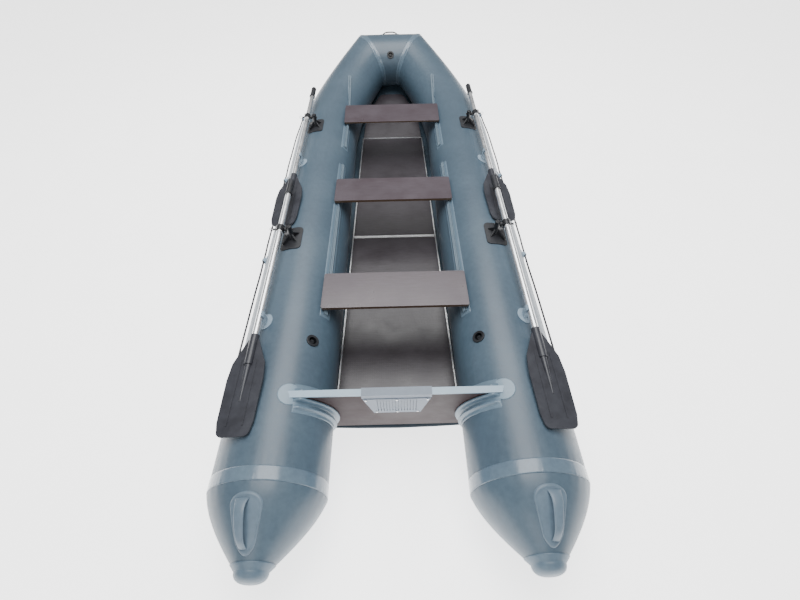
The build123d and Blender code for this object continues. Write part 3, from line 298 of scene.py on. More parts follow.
def filmPly(name, film, filmPale, edgeDark, edgePale, low, high, lean, roughness, mesh, gloss):
    # phenolic film on birch ply: brown film with fibre flecks, ply layers on the cut edges
    made, tree = newMaterial(name)
    place = add(tree, "ShaderNodeTexCoord")
    fibre = add(tree, "ShaderNodeMapping", {"Scale": (14, 150, 150)}, {"Vector": place.outputs["Object"]})
    grain = add(tree, "ShaderNodeTexNoise", {"Scale": 1.0, "Detail": 5.0, "Roughness": 0.62, "Distortion": 0.3},
                {"Vector": fibre.outputs["Vector"]})
    cloud = add(tree, "ShaderNodeTexNoise", {"Scale": 5.5, "Detail": 4.0, "Roughness": 0.6},
                {"Vector": place.outputs["Object"]})
    both = add(tree, "ShaderNodeMix", {"data_type": "FLOAT", 0: 0.45},
               {2: grain.outputs["Fac"], 3: cloud.outputs["Fac"]})
    face = ramp(tree, both.outputs[0], [(0.34, linear(film)), (0.66, linear(filmPale))])
    # the ply's layers are 1.4 mm thick, counted across the board
    across = add(tree, "ShaderNodeMapping", {"Rotation": (lean, 0, 0)}, {"Vector": place.outputs["Object"]})
    layers = add(tree, "ShaderNodeTexWave", {"wave_type": "BANDS", "bands_direction": "Z", "Scale": 1 / 0.0028 / 20 * 6.283,
                                             "Distortion": 0.6, "Detail": 1.0}, {"Vector": across.outputs["Vector"]})
    edge = ramp(tree, layers.outputs["Fac"], [(0.35, linear(edgeDark)), (0.65, linear(edgePale))])
    geometry = add(tree, "ShaderNodeNewGeometry")
    facing = add(tree, "ShaderNodeSeparateXYZ", links={"Vector": geometry.outputs["Normal"]})
    size = add(tree, "ShaderNodeMath", {"operation": "ABSOLUTE"}, {0: facing.outputs["Z" if lean == 0 else "Y"]})
    isFace = ramp(tree, size.outputs[0], [(0.62, grey(0)), (0.72, grey(1))])
    colour = add(tree, "ShaderNodeMix", {"data_type": "RGBA"},
                 {0: isFace.outputs["Color"], 6: edge.outputs["Color"], 7: face.outputs["Color"]})
    dull = ramp(tree, cloud.outputs["Fac"], [(low, grey(roughness - 0.07)), (high, grey(roughness + 0.10))])
    if mesh:
        # anti-slip film: a pressed wire pattern, 6 mm apart
        one = add(tree, "ShaderNodeTexWave", {"bands_direction": "X", "Scale": 26.0}, {"Vector": place.outputs["Object"]})
        two = add(tree, "ShaderNodeTexWave", {"bands_direction": "Y", "Scale": 26.0}, {"Vector": place.outputs["Object"]})
        height = add(tree, "ShaderNodeMath", {"operation": "MAXIMUM"}, {0: one.outputs["Fac"], 1: two.outputs["Fac"]})
        relief = add(tree, "ShaderNodeBump", {"Strength": 0.30, "Distance": 0.0006}, {"Height": height.outputs[0]})
    else:
        relief = add(tree, "ShaderNodeBump", {"Strength": 0.10, "Distance": 0.0004}, {"Height": grain.outputs["Fac"]})
    shader = add(tree, "ShaderNodeBsdfPrincipled", {"IOR": 1.52, "Coat Weight": gloss, "Coat Roughness": 0.25},
                 {"Base Color": colour.outputs[2], "Roughness": dull.outputs["Color"],
                  "Normal": relief.outputs["Normal"]})
    finishMaterial(tree, shader)
    return made


deckPly = filmPly("antiSlipFilmPly", "#2a2529", "#3b373c", "#564132", "#83694d", 0.32, 0.70, 0.0, 0.40, True, 0.15)
seatPly = filmPly("smoothFilmPly", "#3e3238", "#4b424a", "#403227", "#634d3a", 0.32, 0.70, 0.0, 0.34, False, 0.25)
transomPly = filmPly("transomFilmPly", "#2b1a1c", "#352326", "#433329", "#66513d", 0.32, 0.70, radians(7.5), 0.62, False, 0.0)


def braid(name, base, pale, pitch, strands):
    # braided polyester cord: crossing strands, worked out on the cord's own length and turn
    made, tree = newMaterial(name)
    uv = add(tree, "ShaderNodeUVMap")
    lay = add(tree, "ShaderNodeSeparateXYZ", links={"Vector": uv.outputs["UV"]})
    waves = []
    for way in (1.0, -1.0):
        turn = add(tree, "ShaderNodeMath", {"operation": "MULTIPLY", 1: strands * way}, {0: lay.outputs["X"]})
        along = add(tree, "ShaderNodeMath", {"operation": "MULTIPLY_ADD", 1: 1 / pitch}, {0: lay.outputs["Y"], 2: turn.outputs[0]})
        cycle = add(tree, "ShaderNodeMath", {"operation": "MULTIPLY", 1: 2 * pi}, {0: along.outputs[0]})
        waves.append(add(tree, "ShaderNodeMath", {"operation": "SINE"}, {0: cycle.outputs[0]}))
    cross = add(tree, "ShaderNodeMath", {"operation": "MAXIMUM"}, {0: waves[0].outputs[0], 1: waves[1].outputs[0]})
    # painted shade: the colour follows the strand height, darker in the hollows between the strands and paler on their
    # tops
    tone = ramp(tree, cross.outputs[0], [(0.0, linear(base)), (1.0, linear(pale))])
    relief = add(tree, "ShaderNodeBump", {"Strength": 0.6, "Distance": 0.0008}, {"Height": cross.outputs[0]})
    shader = add(tree, "ShaderNodeBsdfPrincipled", {"Roughness": 0.72, "Sheen Weight": 0.35, "Sheen Roughness": 0.5},
                 {"Base Color": tone.outputs["Color"], "Normal": relief.outputs["Normal"]})
    finishMaterial(tree, shader)
    return made


# the darker colour is painted shade in the hollows between the strands, the paler one is the strand tops
ropeBraid = braid("braidedPolyesterCord", "#101113", "#2c2e32", 0.006, 3.0)
print("materials made")


# grab lines
ropeSet = {"diameter": 0.010, "ring": 16, "step": 0.0022}
ropeRoute = [
    (0.745, 2.772, 0.325), (0.751, 2.712, 0.337), (0.754, 2.654, 0.338), (0.768, 2.585, 0.315),
    (0.789, 2.496, 0.288), (0.800, 2.388, 0.266), (0.805, 2.270, 0.255), (0.806, 2.152, 0.257),
    (0.801, 2.040, 0.268), (0.790, 1.942, 0.288), (0.778, 1.872, 0.312), (0.774, 1.829, 0.327),
    (0.774, 1.772, 0.327), (0.782, 1.704, 0.309), (0.795, 1.615, 0.285), (0.804, 1.504, 0.264),
    (0.807, 1.388, 0.257), (0.804, 1.272, 0.263), (0.795, 1.162, 0.284), (0.782, 1.076, 0.309),
    (0.774, 1.009, 0.327), (0.774, 0.952, 0.327), (0.781, 0.886, 0.307), (0.795, 0.798, 0.281),
    (0.805, 0.688, 0.259), (0.808, 0.570, 0.251), (0.804, 0.452, 0.260), (0.794, 0.344, 0.283),
    (0.781, 0.262, 0.310), (0.774, 0.208, 0.327), (0.774, 0.150, 0.327), (0.777, 0.096, 0.317),
]


def splinePoints(points):
    # the route as one NURBS line, read back as its own points
    data = bpy.data.curves.new("routeLine", "CURVE")
    data.dimensions = "3D"
    data.resolution_u = 24
    line = data.splines.new("NURBS")
    line.points.add(len(points) - 1)
    line.points.foreach_set("co", np.hstack([points, np.ones((len(points), 1))]).reshape(-1))
    line.order_u = 3
    line.use_endpoint_u = True
    holder = bpy.data.objects.new("routeLine", data)
    scene.collection.objects.link(holder)
    bpy.context.view_layer.update()
    mesh = bpy.data.meshes.new_from_object(holder)
    found = np.zeros(len(mesh.vertices) * 3)
    mesh.vertices.foreach_get("co", found)
    bpy.data.objects.remove(holder)
    bpy.data.curves.remove(data)
    return found.reshape(-1, 3)


def evenly(points, step):
    # the same line with points a step apart
    lengths = np.concatenate([[0], np.cumsum(np.linalg.norm(np.diff(points, axis=0), axis=1))])
    places = np.linspace(0, lengths[-1], max(8, int(lengths[-1] / step)))
    return np.stack([np.interp(places, lengths, points[:, i]) for i in range(3)], 1), places


def tubeAlong(path, radius, ring, twistFree=(0, 0, 1)):
    # rings square to a path; radius is one number or one for each point and turn
    forward = np.gradient(path, axis=0)
    forward /= np.linalg.norm(forward, axis=1)[:, None]
    side = np.cross(forward, twistFree)
    side /= np.linalg.norm(side, axis=1)[:, None]
    up = np.cross(side, forward)
    turn = np.linspace(0, 2 * pi, ring, endpoint=False)
    reach = np.broadcast_to(radius, (len(path), ring))
    return (path[:, None] + side[:, None] * (np.cos(turn)[None, :, None] * reach[..., None])
            + up[:, None] * (np.sin(turn)[None, :, None] * reach[..., None]))


def cordTube(name, path, places, radius, ring, relief):
    # braided skin: the radius swells where crossing strands lie on top
    turn = np.linspace(0, 2 * pi, ring, endpoint=False)
    lay = places[:, None] / 0.012 * 2 * pi
    swell = np.maximum(np.sin(lay + 3 * turn), np.sin(lay - 3 * turn))
    grid = tubeAlong(path, radius * (1 + relief * (swell - 0.35)), ring)
    points, faces = closedTube(grid)
    u = np.tile(turn / (2 * pi), len(path))
    v = np.repeat(places, ring)
    uv = np.vstack([np.stack([u, v], 1), [[0, 0], [0, places[-1]]]])
    return turnOutward(addMesh(name, points, faces, ropeBraid, uv))


def knotPath(centre, size, forward, up):
    # overhand knot: a trefoil curve squeezed along the cord
    t = np.linspace(0, 2 * pi, 90)
    side = np.cross(forward, up)
    a = (np.sin(t) + 2 * np.sin(2 * t)) / 3
    b = (np.cos(t) - 2 * np.cos(2 * t)) / 3
    c = -np.sin(3 * t) / 2.2
    return (centre + size * (a[:, None] * np.array(forward) * 1.15 + b[:, None] * np.array(up)
                             + c[:, None] * side))


for side, sign in (("starboard", 1), ("port", -1)):
    route = np.array(ropeRoute) * (sign, 1, 1)
    line = splinePoints(route)
    path, places = evenly(line, ropeSet["step"])
    rope = cordTube(side + "_rope", path, places, ropeSet["diameter"] / 2, ropeSet["ring"], 0.06)
    knots = []
    for end, place, heading in (("fore", path[0], path[0] - path[6]), ("aft", path[-1], path[-1] - path[-7])):
        heading = heading / np.linalg.norm(heading)
        knotLine = knotPath(place + heading * 0.012, 0.011, heading, (0, 0, 1))
        knot, knotPlaces = evenly(knotLine, 0.003)
        knots.append(cordTube(side + "_rope_knot_" + end, knot, knotPlaces, ropeSet["diameter"] / 2 * 0.96, 12, 0.06))
    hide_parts(side + "_grab_line")
    for piece in [rope] + knots:
        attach(piece, "hull")
print("grab lines", round(float(places[-1]), 3))


# hull tubes
hullSet = {
    "radius": 0.240, "bowRadius": 0.215, "offset": 0.535, "bendStart": 2.380, "bendRadius": 1.870,
    "bendAngle": radians(38.7), "bendTilt": radians(32.4), "coneStart": -0.340, "coneLength": 0.265,
    "coneTip": 0.060, "coneRise": 0.060, "around": 160,
}
tubeEnd = hullSet["bendStart"] + hullSet["bendRadius"] * hullSet["bendAngle"]


def tubeFrame(s):
    # centre, heading, upward and outboard directions and radius at lengths along the starboard tube
    h = hullSet
    s = np.asarray(s, float)
    turn = np.clip((s - h["bendStart"]) / h["bendRadius"], 0, h["bendAngle"])[..., None]
    inward = np.array([-cos(h["bendTilt"]), 0, sin(h["bendTilt"])])
    upOut = np.array([sin(h["bendTilt"]), 0, cos(h["bendTilt"])])
    base = np.stack([np.full(s.shape, h["offset"]), np.minimum(s, h["bendStart"]), np.full(s.shape, h["radius"])], -1)
    centre = base + np.array([0, 1, 0]) * h["bendRadius"] * np.sin(turn) + inward * h["bendRadius"] * (1 - np.cos(turn))
    heading = np.array([0, 1, 0]) * np.cos(turn) + inward * np.sin(turn)
    centre = centre + heading * np.maximum(s - tubeEnd, 0)[..., None]
    share = (1 - np.cos(pi * turn[..., 0] / h["bendAngle"])) / 2
    radius = h["radius"] + (h["bowRadius"] - h["radius"]) * share
    first = np.broadcast_to(upOut, heading.shape)
    return centre, heading, first, np.cross(heading, first), radius


def onTube(s, angle, lift=0.0):
    # point on the starboard tube; the angle in degrees is from its top and positive outboard
    s, angle, lift = np.broadcast_arrays(np.asarray(s, float), np.asarray(angle, float), lift)
    centre, heading, first, second, radius = tubeFrame(s)
    a = np.radians(angle) - hullSet["bendTilt"]
    reach = (radius + lift)[..., None]
    return centre + first * (np.cos(a)[..., None] * reach) + second * (np.sin(a)[..., None] * reach)


def tubeNormal(s, angle):
    step = onTube(s, angle, 0.01) - onTube(s, angle)
    return step / np.linalg.norm(step, axis=-1)[..., None]


bowCentre, bowHeading, _, _, _ = tubeFrame(tubeEnd)
seamNormal = (bowHeading + (-1, 0, 0)) / np.linalg.norm(bowHeading + (-1, 0, 0))


def seamPlace(angle, lift=0.0):
    # length along the tube where a line of its skin meets the bow seam's plane, by halving
    low = np.full(np.shape(angle), tubeEnd - 0.45)
    high = np.full(np.shape(angle), tubeEnd + 0.45)
    for _ in range(40):
        middle = (low + high) / 2
        past = ((onTube(middle, angle, lift) - bowCentre) @ seamNormal) > 0
        high = np.where(past, middle, high)
        low = np.where(past, low, middle)
    return (low + high) / 2


def acrossSeam(points):
    # mirror image in the bow seam's plane: the bow segment has the same round section there
    return points - 2 * ((points - bowCentre) @ seamNormal)[..., None] * seamNormal


def onBow(x, angle, lift=0.0):
    x, angle, lift = np.broadcast_arrays(np.asarray(x, float), np.asarray(angle, float), lift)
    reach = hullSet["bowRadius"] + lift
    a = np.radians(angle)
    return np.stack([x, bowCentre[1] + reach * np.sin(a), bowCentre[2] + reach * np.cos(a)], -1)


def tubeGrid(start, rows, angles, lift=0.0):
    # rows run along the tube, closing up evenly to the seam
    angles = np.asarray(angles, float)
    ends = seamPlace(angles)
    middle = tubeEnd - 0.42
    share = np.linspace(0, 1, rows)[:, None]
    turnPoint = 0.80
    s = np.where(share < turnPoint, start + (middle - start) * share / turnPoint,
                 middle + (ends[None] - middle) * (share - turnPoint) / (1 - turnPoint))
    return onTube(s, angles[None], lift), s


def ripples(s, angle, place, depth, count, spread):
    # small puckers that stand square to a seam and die away from it
    fade = np.exp(-np.abs(s - place) / spread)
    return depth * fade * np.sin(np.radians(angle) * count + 2.2 * np.sin(np.radians(angle) * 3))


valveSet = {"place": 0.312, "angle": -36.0, "bowAngle": -57.0, "mouth": 0.0262, "depth": 0.064}


def finer(values, middle, half, step):
    # the same list with closer values either side of one place
    close = np.arange(middle - half, middle + half + step / 2, step)
    return np.sort(np.concatenate([values[(values < close[0] - step / 2) | (values > close[-1] + step / 2)], close]))


def sinkMouth(points, place, normal):
    # the skin turns in where a valve's barrel passes through it
    distance = np.linalg.norm(points - place, axis=-1)
    push = valveSet["depth"] * smoothStep((valveSet["mouth"] + 0.0015 - distance) / 0.003)
    return points - np.asarray(normal) * push[..., None]


around = finer(np.linspace(-180, 180, hullSet["around"], endpoint=False), valveSet["angle"], 9.0, 0.6)
base, s = tubeGrid(hullSet["coneStart"], 260, around)
closeRows = finer(s[:, 0], valveSet["place"], 0.038, 0.0025)
shareRows = np.interp(closeRows, s[:, 0], np.arange(len(s)))
whole = np.floor(shareRows).astype(int).clip(0, len(s) - 2)
part = (shareRows - whole)[:, None]
s = s[whole] * (1 - part) + s[whole + 1] * part
base = onTube(s, around[None])
pucker = ripples(s, around[None], hullSet["coneStart"] + 0.03, 0.0006, 34, 0.05)
pucker += ripples(s, around[None], seamPlace(around)[None], 0.0007, 30, 0.06)
pucker += 0.0008 * np.sin(s * 5.1 + np.radians(around[None]) * 2) * smoothStep((s - 0.1) / 0.4)
normals = tubeNormal(s, np.broadcast_to(around[None], s.shape))
pucker *= smoothStep((s - hullSet["coneStart"]) / 0.02) * smoothStep((seamPlace(around)[None] - s) / 0.02)
skin = base + normals * (pucker - 0.0004)[..., None]
skin = sinkMouth(skin, onTube(valveSet["place"], valveSet["angle"]), tubeNormal(valveSet["place"], valveSet["angle"]))
for side, sign in (("starboard", 1), ("port", -1)):
    points, faces = closedTube(skin * (sign, 1, 1))
    piece = turnOutward(addMesh(side + "_tube_skin", points, faces, pvcTube))
    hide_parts(side + "_tube")
    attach(piece, "hull")

# bow segment: each line of the skin runs between the two seam planes
bowAngles = finer(np.linspace(-180, 180, hullSet["around"], endpoint=False), valveSet["bowAngle"], 10.0, 0.7)
atSeam = onBow(np.zeros(len(bowAngles)), bowAngles)
reachX = ((atSeam - bowCentre) @ seamNormal) / -seamNormal[0]
acrossShare = finer(np.linspace(-1, 1, 90), 0.0, 0.14, 0.011)
bowX = acrossShare[:, None] * reachX[None]
bowSwell = 0.004 * (1 - acrossShare[:, None] ** 2) + 0.0006 * (
    np.sin(np.radians(bowAngles) * 24) * np.abs(acrossShare[:, None]) ** 6)
bowSkin = onBow(bowX, bowAngles[None], bowSwell * 0.25 - 0.0004)
bowMouth = onBow(0.0, valveSet["bowAngle"])
bowSkin = sinkMouth(bowSkin, bowMouth, (onBow(0.0, valveSet["bowAngle"], 0.01) - bowMouth) * 100)
points, faces = closedTube(bowSkin)
bow = turnOutward(addMesh("bow_tube_skin", points, faces, pvcTube))
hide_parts("bow_tube")
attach(bow, "hull")

# stern cones: the radius follows a cubic through the four hoops
coneWidth = np.polyfit([0, 0.22, 0.60, 1.0], [1.0, 0.865, 0.50, 0.0], 3)


def onCone(share, angle, lift=0.0):
    # point on the starboard cone at a share of its length; the angle is from its top, positive outboard
    share, angle, lift = np.broadcast_arrays(np.asarray(share, float), np.asarray(angle, float), lift)
    h = hullSet
    radius = h["coneTip"] + (h["radius"] - h["coneTip"]) * np.polyval(coneWidth, share) + lift
    a = np.radians(angle)
    return np.stack([h["offset"] + radius * np.sin(a), h["coneStart"] - h["coneLength"] * share,
                     h["radius"] + h["coneRise"] * share + radius * np.cos(a)], -1)


def coneNormal(share, angle):
    step = 1e-3
    along = onCone(share + step, angle) - onCone(share - step, angle)
    round_ = onCone(share, angle + 0.1) - onCone(share, angle - 0.1)
    out = np.cross(along, round_)
    out /= np.linalg.norm(out, axis=-1)[..., None]
    outward = onCone(share, angle, 0.01) - onCone(share, angle)
    return out * np.sign((out * outward).sum(-1))[..., None]


coneShare = np.concatenate([np.linspace(0, 0.1, 14)[:-1], np.linspace(0.1, 1.0, 70)])
coneLift = 0.0005 * np.exp(-coneShare[:, None] * 9) * np.sin(np.radians(around[None]) * 31) - 0.0004
coneSkin = onCone(coneShare[:, None], around[None], coneLift)
conePieces = []
for side, sign in (("starboard", 1), ("port", -1)):
    points, faces = closedTube(coneSkin * (sign, 1, 1))
    conePieces.append(turnOutward(addMesh(side + "_cone_skin", points, faces, pvcTube)))
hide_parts("stern_cones")
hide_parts("stern_cones")
for piece in conePieces:
    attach(piece, "hull")
print("hull skins")

# glossy tapes over the seams
tapeSet = {"thick": 0.0013, "sternWidth": 0.056, "bowWidth": 0.026}


def bandProfile(half, thick, steps=9):
    # a thin raised strip: places across it and its lift, with soft edges
    place = np.linspace(-half, half, steps)
    lift = thick * smoothStep((half - np.abs(place)) / (half * 0.10) + 0.15)
    return place, lift


tapePieces = []
ring = np.linspace(-180, 180, 220, endpoint=False)
place, lift = bandProfile(tapeSet["sternWidth"] / 2, tapeSet["thick"], 15)
tapeS = hullSet["coneStart"] + 0.028 + place
wrinkle = 0.0006 * np.sin(np.radians(ring[None]) * 47 + np.sin(np.radians(ring[None]) * 9) * 3) * np.exp(
    -((tapeS[:, None] - hullSet["coneStart"]) / 0.02))
wrinkle *= smoothStep((ring[None] + 120) / 40) * smoothStep((120 - ring[None]) / 40)
outer = onTube(tapeS[:, None], ring[None], lift[:, None] + wrinkle * (lift[:, None] > 0.0008) + 0.0002)
inner = onTube(tapeS[::-1][:, None], ring[None], -0.0012)
outer[..., 2] = np.maximum(outer[..., 2], 0.0)
sternTape = np.concatenate([outer, inner])
# the bow seam: one side along the tube, the other its mirror image
half = tapeSet["bowWidth"]
acrossTape = np.linspace(0, half, 8)
ends = seamPlace(ring)
tapeLift = tapeSet["thick"] * smoothStep((half - acrossTape) / (half * 0.10) + 0.15)
tubeSide = onTube(ends[None] - acrossTape[:, None], ring[None], tapeLift[:, None] + 0.0003)
bowSide = acrossSeam(tubeSide)
under = onTube(ends[None] - acrossTape[:, None], ring[None], -0.0015)
bowUnder = acrossSeam(under)
bowTapeGrid = np.concatenate([tubeSide[::-1], bowSide[1:], bowUnder[::-1], under[1:]])
for side, sign in (("starboard", 1), ("port", -1)):
    for name, grid in (("stern", sternTape), ("bow", bowTapeGrid)):
        rows, columns = grid.shape[:2]
        piece = addMesh(side + "_" + name + "_tape", (grid * (sign, 1, 1)).reshape(-1, 3),
                        [gridFaces(rows, columns, closeRows=True, closeColumns=True)], pvcTape)
        tapePieces.append(turnOutward(piece))
for piece in tapePieces:
    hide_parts("seam_tapes")
    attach(piece, "hull")

# rub strake: a ribbed rubber extrusion along each tube's widest line and round the bow
strakeSet = {"half": 9.5, "thick": 0.010, "start": -0.245, "ribs": 3}
ribPlace = np.linspace(-1, 1, 57)
ribLift = strakeSet["thick"] * (0.62 + 0.38 * np.cos(ribPlace * pi * strakeSet["ribs"]) ** 2) * smoothStep(
    (1 - np.abs(ribPlace)) / 0.10 + 0.05)
strakeAngles = 90 + ribPlace * strakeSet["half"]


def closedStrip(low, high, name, material):
    points, faces = stripBetween(low, high)
    return turnOutward(addMesh(name, points, faces, material))


outerStrake, strakeS = tubeGrid(strakeSet["start"], 200, strakeAngles)
outerStrake = onTube(strakeS, strakeAngles[None], ribLift[None])
innerStrake = onTube(strakeS, strakeAngles[None], -0.0006)
strakePieces = []
for side, sign in (("starboard", 1), ("port", -1)):
    strakePieces.append(closedStrip(innerStrake * (sign, 1, 1), outerStrake * (sign, 1, 1), side + "_rub_strake",
                                    strakeRubber))
outwardEnd = onTube(tubeEnd, 90.0) - bowCentre
bowStrakeAngle = np.degrees(np.arctan2(outwardEnd[1], outwardEnd[2]))
bowStrakeAngles = bowStrakeAngle + ribPlace * strakeSet["half"] * 1.13
seamX = ((onBow(np.zeros(len(ribPlace)), bowStrakeAngles) - bowCentre) @ seamNormal) / -seamNormal[0]
stripX = np.linspace(-1, 1, 60)[:, None] * seamX[None]
strakePieces.append(closedStrip(onBow(stripX, bowStrakeAngles[None], -0.0006),
                                onBow(stripX, bowStrakeAngles[None], ribLift[None]), "bow_rub_strake", strakeRubber))
# spray strips low on the cones, thin and pointed
sprayShare = np.linspace(0.03, 0.90, 60)[:, None]
sprayAcross = np.linspace(-1, 1, 13)[None]
sprayLift = 0.009 * np.clip(1 - np.abs(sprayAcross), 0, 1) ** 0.7 * np.sin(np.clip(sprayShare, 0, 1) * pi) ** 0.5
sprayAngles = 109 + sprayAcross * 3.0
for side, sign in (("starboard", 1), ("port", -1)):
    low = onCone(sprayShare, sprayAngles, -0.0006) * (sign, 1, 1)
    high = onCone(sprayShare, sprayAngles, sprayLift) * (sign, 1, 1)
    strakePieces.append(closedStrip(low, high, side + "_spray_strip", strakeRubber))
for piece in strakePieces:
    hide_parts("rub_strakes")
    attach(piece, "hull")
print("tapes and strakes")

# cone end caps: moulded noses with a skirt
capSet = {"wall": 0.0035, "skirt": 0.024, "nose": 0.038}
turn = np.linspace(-180, 180, 96, endpoint=False)
skirtRows = np.linspace(0, 1, 12)
skirtShare = 1 - capSet["skirt"] / hullSet["coneLength"] * (1 - skirtRows)
skirt = onCone(skirtShare[:, None], turn[None], (capSet["wall"] * smoothStep(skirtRows / 0.12 + 0.1))[:, None])
noseTurn = np.linspace(0.0, pi / 2, 26)[1:]
noseRadius = (hullSet["coneTip"] + capSet["wall"])
noseCentre = onCone(1.0, 0.0) - (0, 0, hullSet["coneTip"])
a = np.radians(turn)
noseReach = (noseRadius * np.cos(noseTurn) ** 0.75)[:, None]
nose = np.stack([noseCentre[0] + noseReach * np.sin(a)[None],
                 np.broadcast_to(noseCentre[1] - capSet["nose"] * np.sin(noseTurn)[:, None] ** 0.9, noseReach.shape[:1] + a.shape),
                 noseCentre[2] + noseReach * np.cos(a)[None]], -1)
capBack = onCone(np.full((1, len(turn)), skirtShare[0]), turn[None], -0.0015)
capGrid = np.concatenate([capBack, skirt, nose[:-1]])
for side, sign in (("starboard", 1), ("port", -1)):
    points, faces = closedTube(capGrid * (sign, 1, 1))
    piece = turnOutward(addMesh(side + "_cone_cap", points, faces, pvcCap))
    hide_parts("cone_end_caps")
    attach(piece, "hull")

# moulded carry handles: a stadium pad with a raised rim and an arched strap
handleSet = {"centre": 0.50, "length": 0.212, "width": 0.104, "angle": 4.0, "strapRise": 0.030, "strapWide": 0.030,
             "strapShift": 0.010, "pad": 0.0035}


def stadium(u, v, length, width):
    # maps a disc (radius u, turn v) onto a stadium: the disc's circle pulled apart at its waist
    x = np.cos(v) * width / 2 * u
    y = np.sin(v) * width / 2 * u + np.sign(np.sin(v)) * (length - width) / 2 * np.minimum(1, u * 1.0) * np.minimum(
        1, np.abs(np.sin(v)) * 6) ** 0.5
    return x, y


def handleFrame(along, across, lift):
    # along is the distance towards the bow over the cone and across is outboard, from the handle's middle
    h = hullSet
    share = handleSet["centre"] - along / (h["coneLength"] * 1.10)
    radius = h["coneTip"] + (h["radius"] - h["coneTip"]) * np.polyval(coneWidth, handleSet["centre"])
    angle = handleSet["angle"] + np.degrees(across / radius)
    return onCone(share, angle) + coneNormal(share, angle) * np.asarray(lift)[..., None]


discU = np.concatenate([np.linspace(0.02, 0.80, 18), np.linspace(0.82, 1.0, 12)])
discV = np.linspace(0, 2 * pi, 128, endpoint=False)
u, v = np.meshgrid(discU, discV, indexing="ij")
padX, padY = stadium(u, v, handleSet["length"], handleSet["width"])
rim = np.exp(-((u - 0.90) / 0.06) ** 2)
strapHole = np.exp(-((padX - handleSet["strapShift"]) / 0.020) ** 2) * smoothStep((0.075 - np.abs(padY)) / 0.02)
padLift = handleSet["pad"] * smoothStep((1.0 - u) / 0.06 + 0.05) * (0.75 + 0.45 * rim) - 0.0012 * strapHole
padTop = handleFrame(padY, padX, padLift)
padLow = handleFrame(padY[-1:], padX[-1:], np.full(padX[-1:].shape, -0.002))
padGrid = np.concatenate([padTop, padLow])
t = np.linspace(-1, 1, 70)
strapY = t * 0.083
strapArch = handleSet["strapRise"] * (1 - np.abs(t) ** 3.2) + 0.001
strapHalf = handleSet["strapWide"] / 2 * (1 + 0.45 * np.abs(t) ** 6)
strapThick = 0.0055 * (1 + 0.5 * np.abs(t) ** 6)
sectionTurn = np.linspace(0, 2 * pi, 28, endpoint=False)
# rounded flat section: a circle squeezed towards a box
sx = np.sign(np.cos(sectionTurn)) * np.abs(np.cos(sectionTurn)) ** 0.6
sz = np.sign(np.sin(sectionTurn)) * np.abs(np.sin(sectionTurn)) ** 0.8
strapX = handleSet["strapShift"] + strapHalf[:, None] * sx[None]
strapZ = strapArch[:, None] + strapThick[:, None] * (0.62 * sz[None] + 0.18 * (1 - sx[None] ** 2))
strapGrid = handleFrame(np.broadcast_to(strapY[:, None], strapX.shape), strapX, strapZ)
for side, sign in (("starboard", 1), ("port", -1)):
    for name, grid in (("handle_pad", padGrid), ("handle_strap", strapGrid)):
        points, faces = closedTube(grid * (sign, 1, 1))
        piece = turnOutward(addMesh(side + "_" + name, points, faces, pvcHandle))
        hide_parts("cone_handles")
        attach(piece, "hull")
print("caps and handles")

# transom sleeves: the fabric flange that glues the transom to each tube
sleeveSet = {"low": -137.0, "top": -24.0, "rake": radians(7.5), "thick": 0.027, "base": 0.003,
             "patchAngle": -19.5, "patchRadius": 0.050, "patchThick": 0.0026}


def onLeaning(angle, depth, lift):
    # point on the tube where a plane that leans with the transom, depth forward of its aft face, crosses it
    radius = hullSet["radius"] + lift
    a = np.radians(angle)
    x = hullSet["offset"] + radius * np.sin(a)
    z = hullSet["radius"] + radius * np.cos(a)
    y = (depth + (0.468 - z) * sin(sleeveSet["rake"])) / cos(sleeveSet["rake"])
    return np.stack(np.broadcast_arrays(x, y, z), -1)


aftSide = np.array([[-0.066, 0.0], [-0.062, 0.0026], [-0.050, 0.0030], [-0.047, 0.0100], [-0.043, 0.0150],
                    [-0.038, 0.0150], [-0.034, 0.0100], [-0.030, 0.0036], [-0.020, 0.0040], [-0.016, 0.0120],
                    [-0.013, 0.0230], [-0.009, 0.0262], [-0.004, 0.0262], [-0.0012, 0.0235], [-0.0008, 0.0010],
                    [-0.0008, -0.0006], [-0.066, -0.0006]])
foreSide = np.array([[0.0008, -0.0006], [0.0008, 0.0235], [0.004, 0.0262], [0.009, 0.0262], [0.013, 0.0200],
                     [0.017, 0.0060], [0.022, 0.0034], [0.036, 0.0026], [0.040, 0.0], [0.040, -0.0006]])
foreSide[:, 0] += sleeveSet["thick"]


def smoothLoop(points, steps):
    # closed corner-cut loop: each corner is replaced by points a quarter in from its neighbours
    for _ in range(steps):
        after = np.roll(points, -1, axis=0)
        points = np.stack([points * 0.75 + after * 0.25, points * 0.25 + after * 0.75], 1).reshape(-1, 2)
    return points


sleeveAngle = np.linspace(sleeveSet["low"], sleeveSet["top"], 110)
taper = smoothStep((sleeveSet["top"] - sleeveAngle) / 7 + 0.10) * smoothStep((sleeveAngle - sleeveSet["low"]) / 4 + 0.3)
sleevePieces = []
for name, profile in (("aft", aftSide), ("fore", foreSide)):
    loop = smoothLoop(profile, 2)
    liftNow = np.where(loop[None, :, 1] > 0.003, 0.003 + (loop[None, :, 1] - 0.003) * taper[:, None], loop[None, :, 1])
    grid = onLeaning(sleeveAngle[:, None], loop[None, :, 0], liftNow)
    for side, sign in (("starboard", 1), ("port", -1)):
        points, faces = closedTube(grid * (sign, 1, 1))
        sleevePieces.append(turnOutward(addMesh(side + "_sleeve_" + name, points, faces, pvcSleeve)))
patchU = np.concatenate([np.linspace(0.03, 0.85, 16), np.linspace(0.88, 1.0, 7)])
u, v = np.meshgrid(patchU, np.linspace(0, 2 * pi, 96, endpoint=False), indexing="ij")
patchArc = u * np.cos(v) * sleeveSet["patchRadius"]
patchY = u * np.sin(v) * sleeveSet["patchRadius"] + 0.016
patchAngle = sleeveSet["patchAngle"] + np.degrees(patchArc / hullSet["radius"])
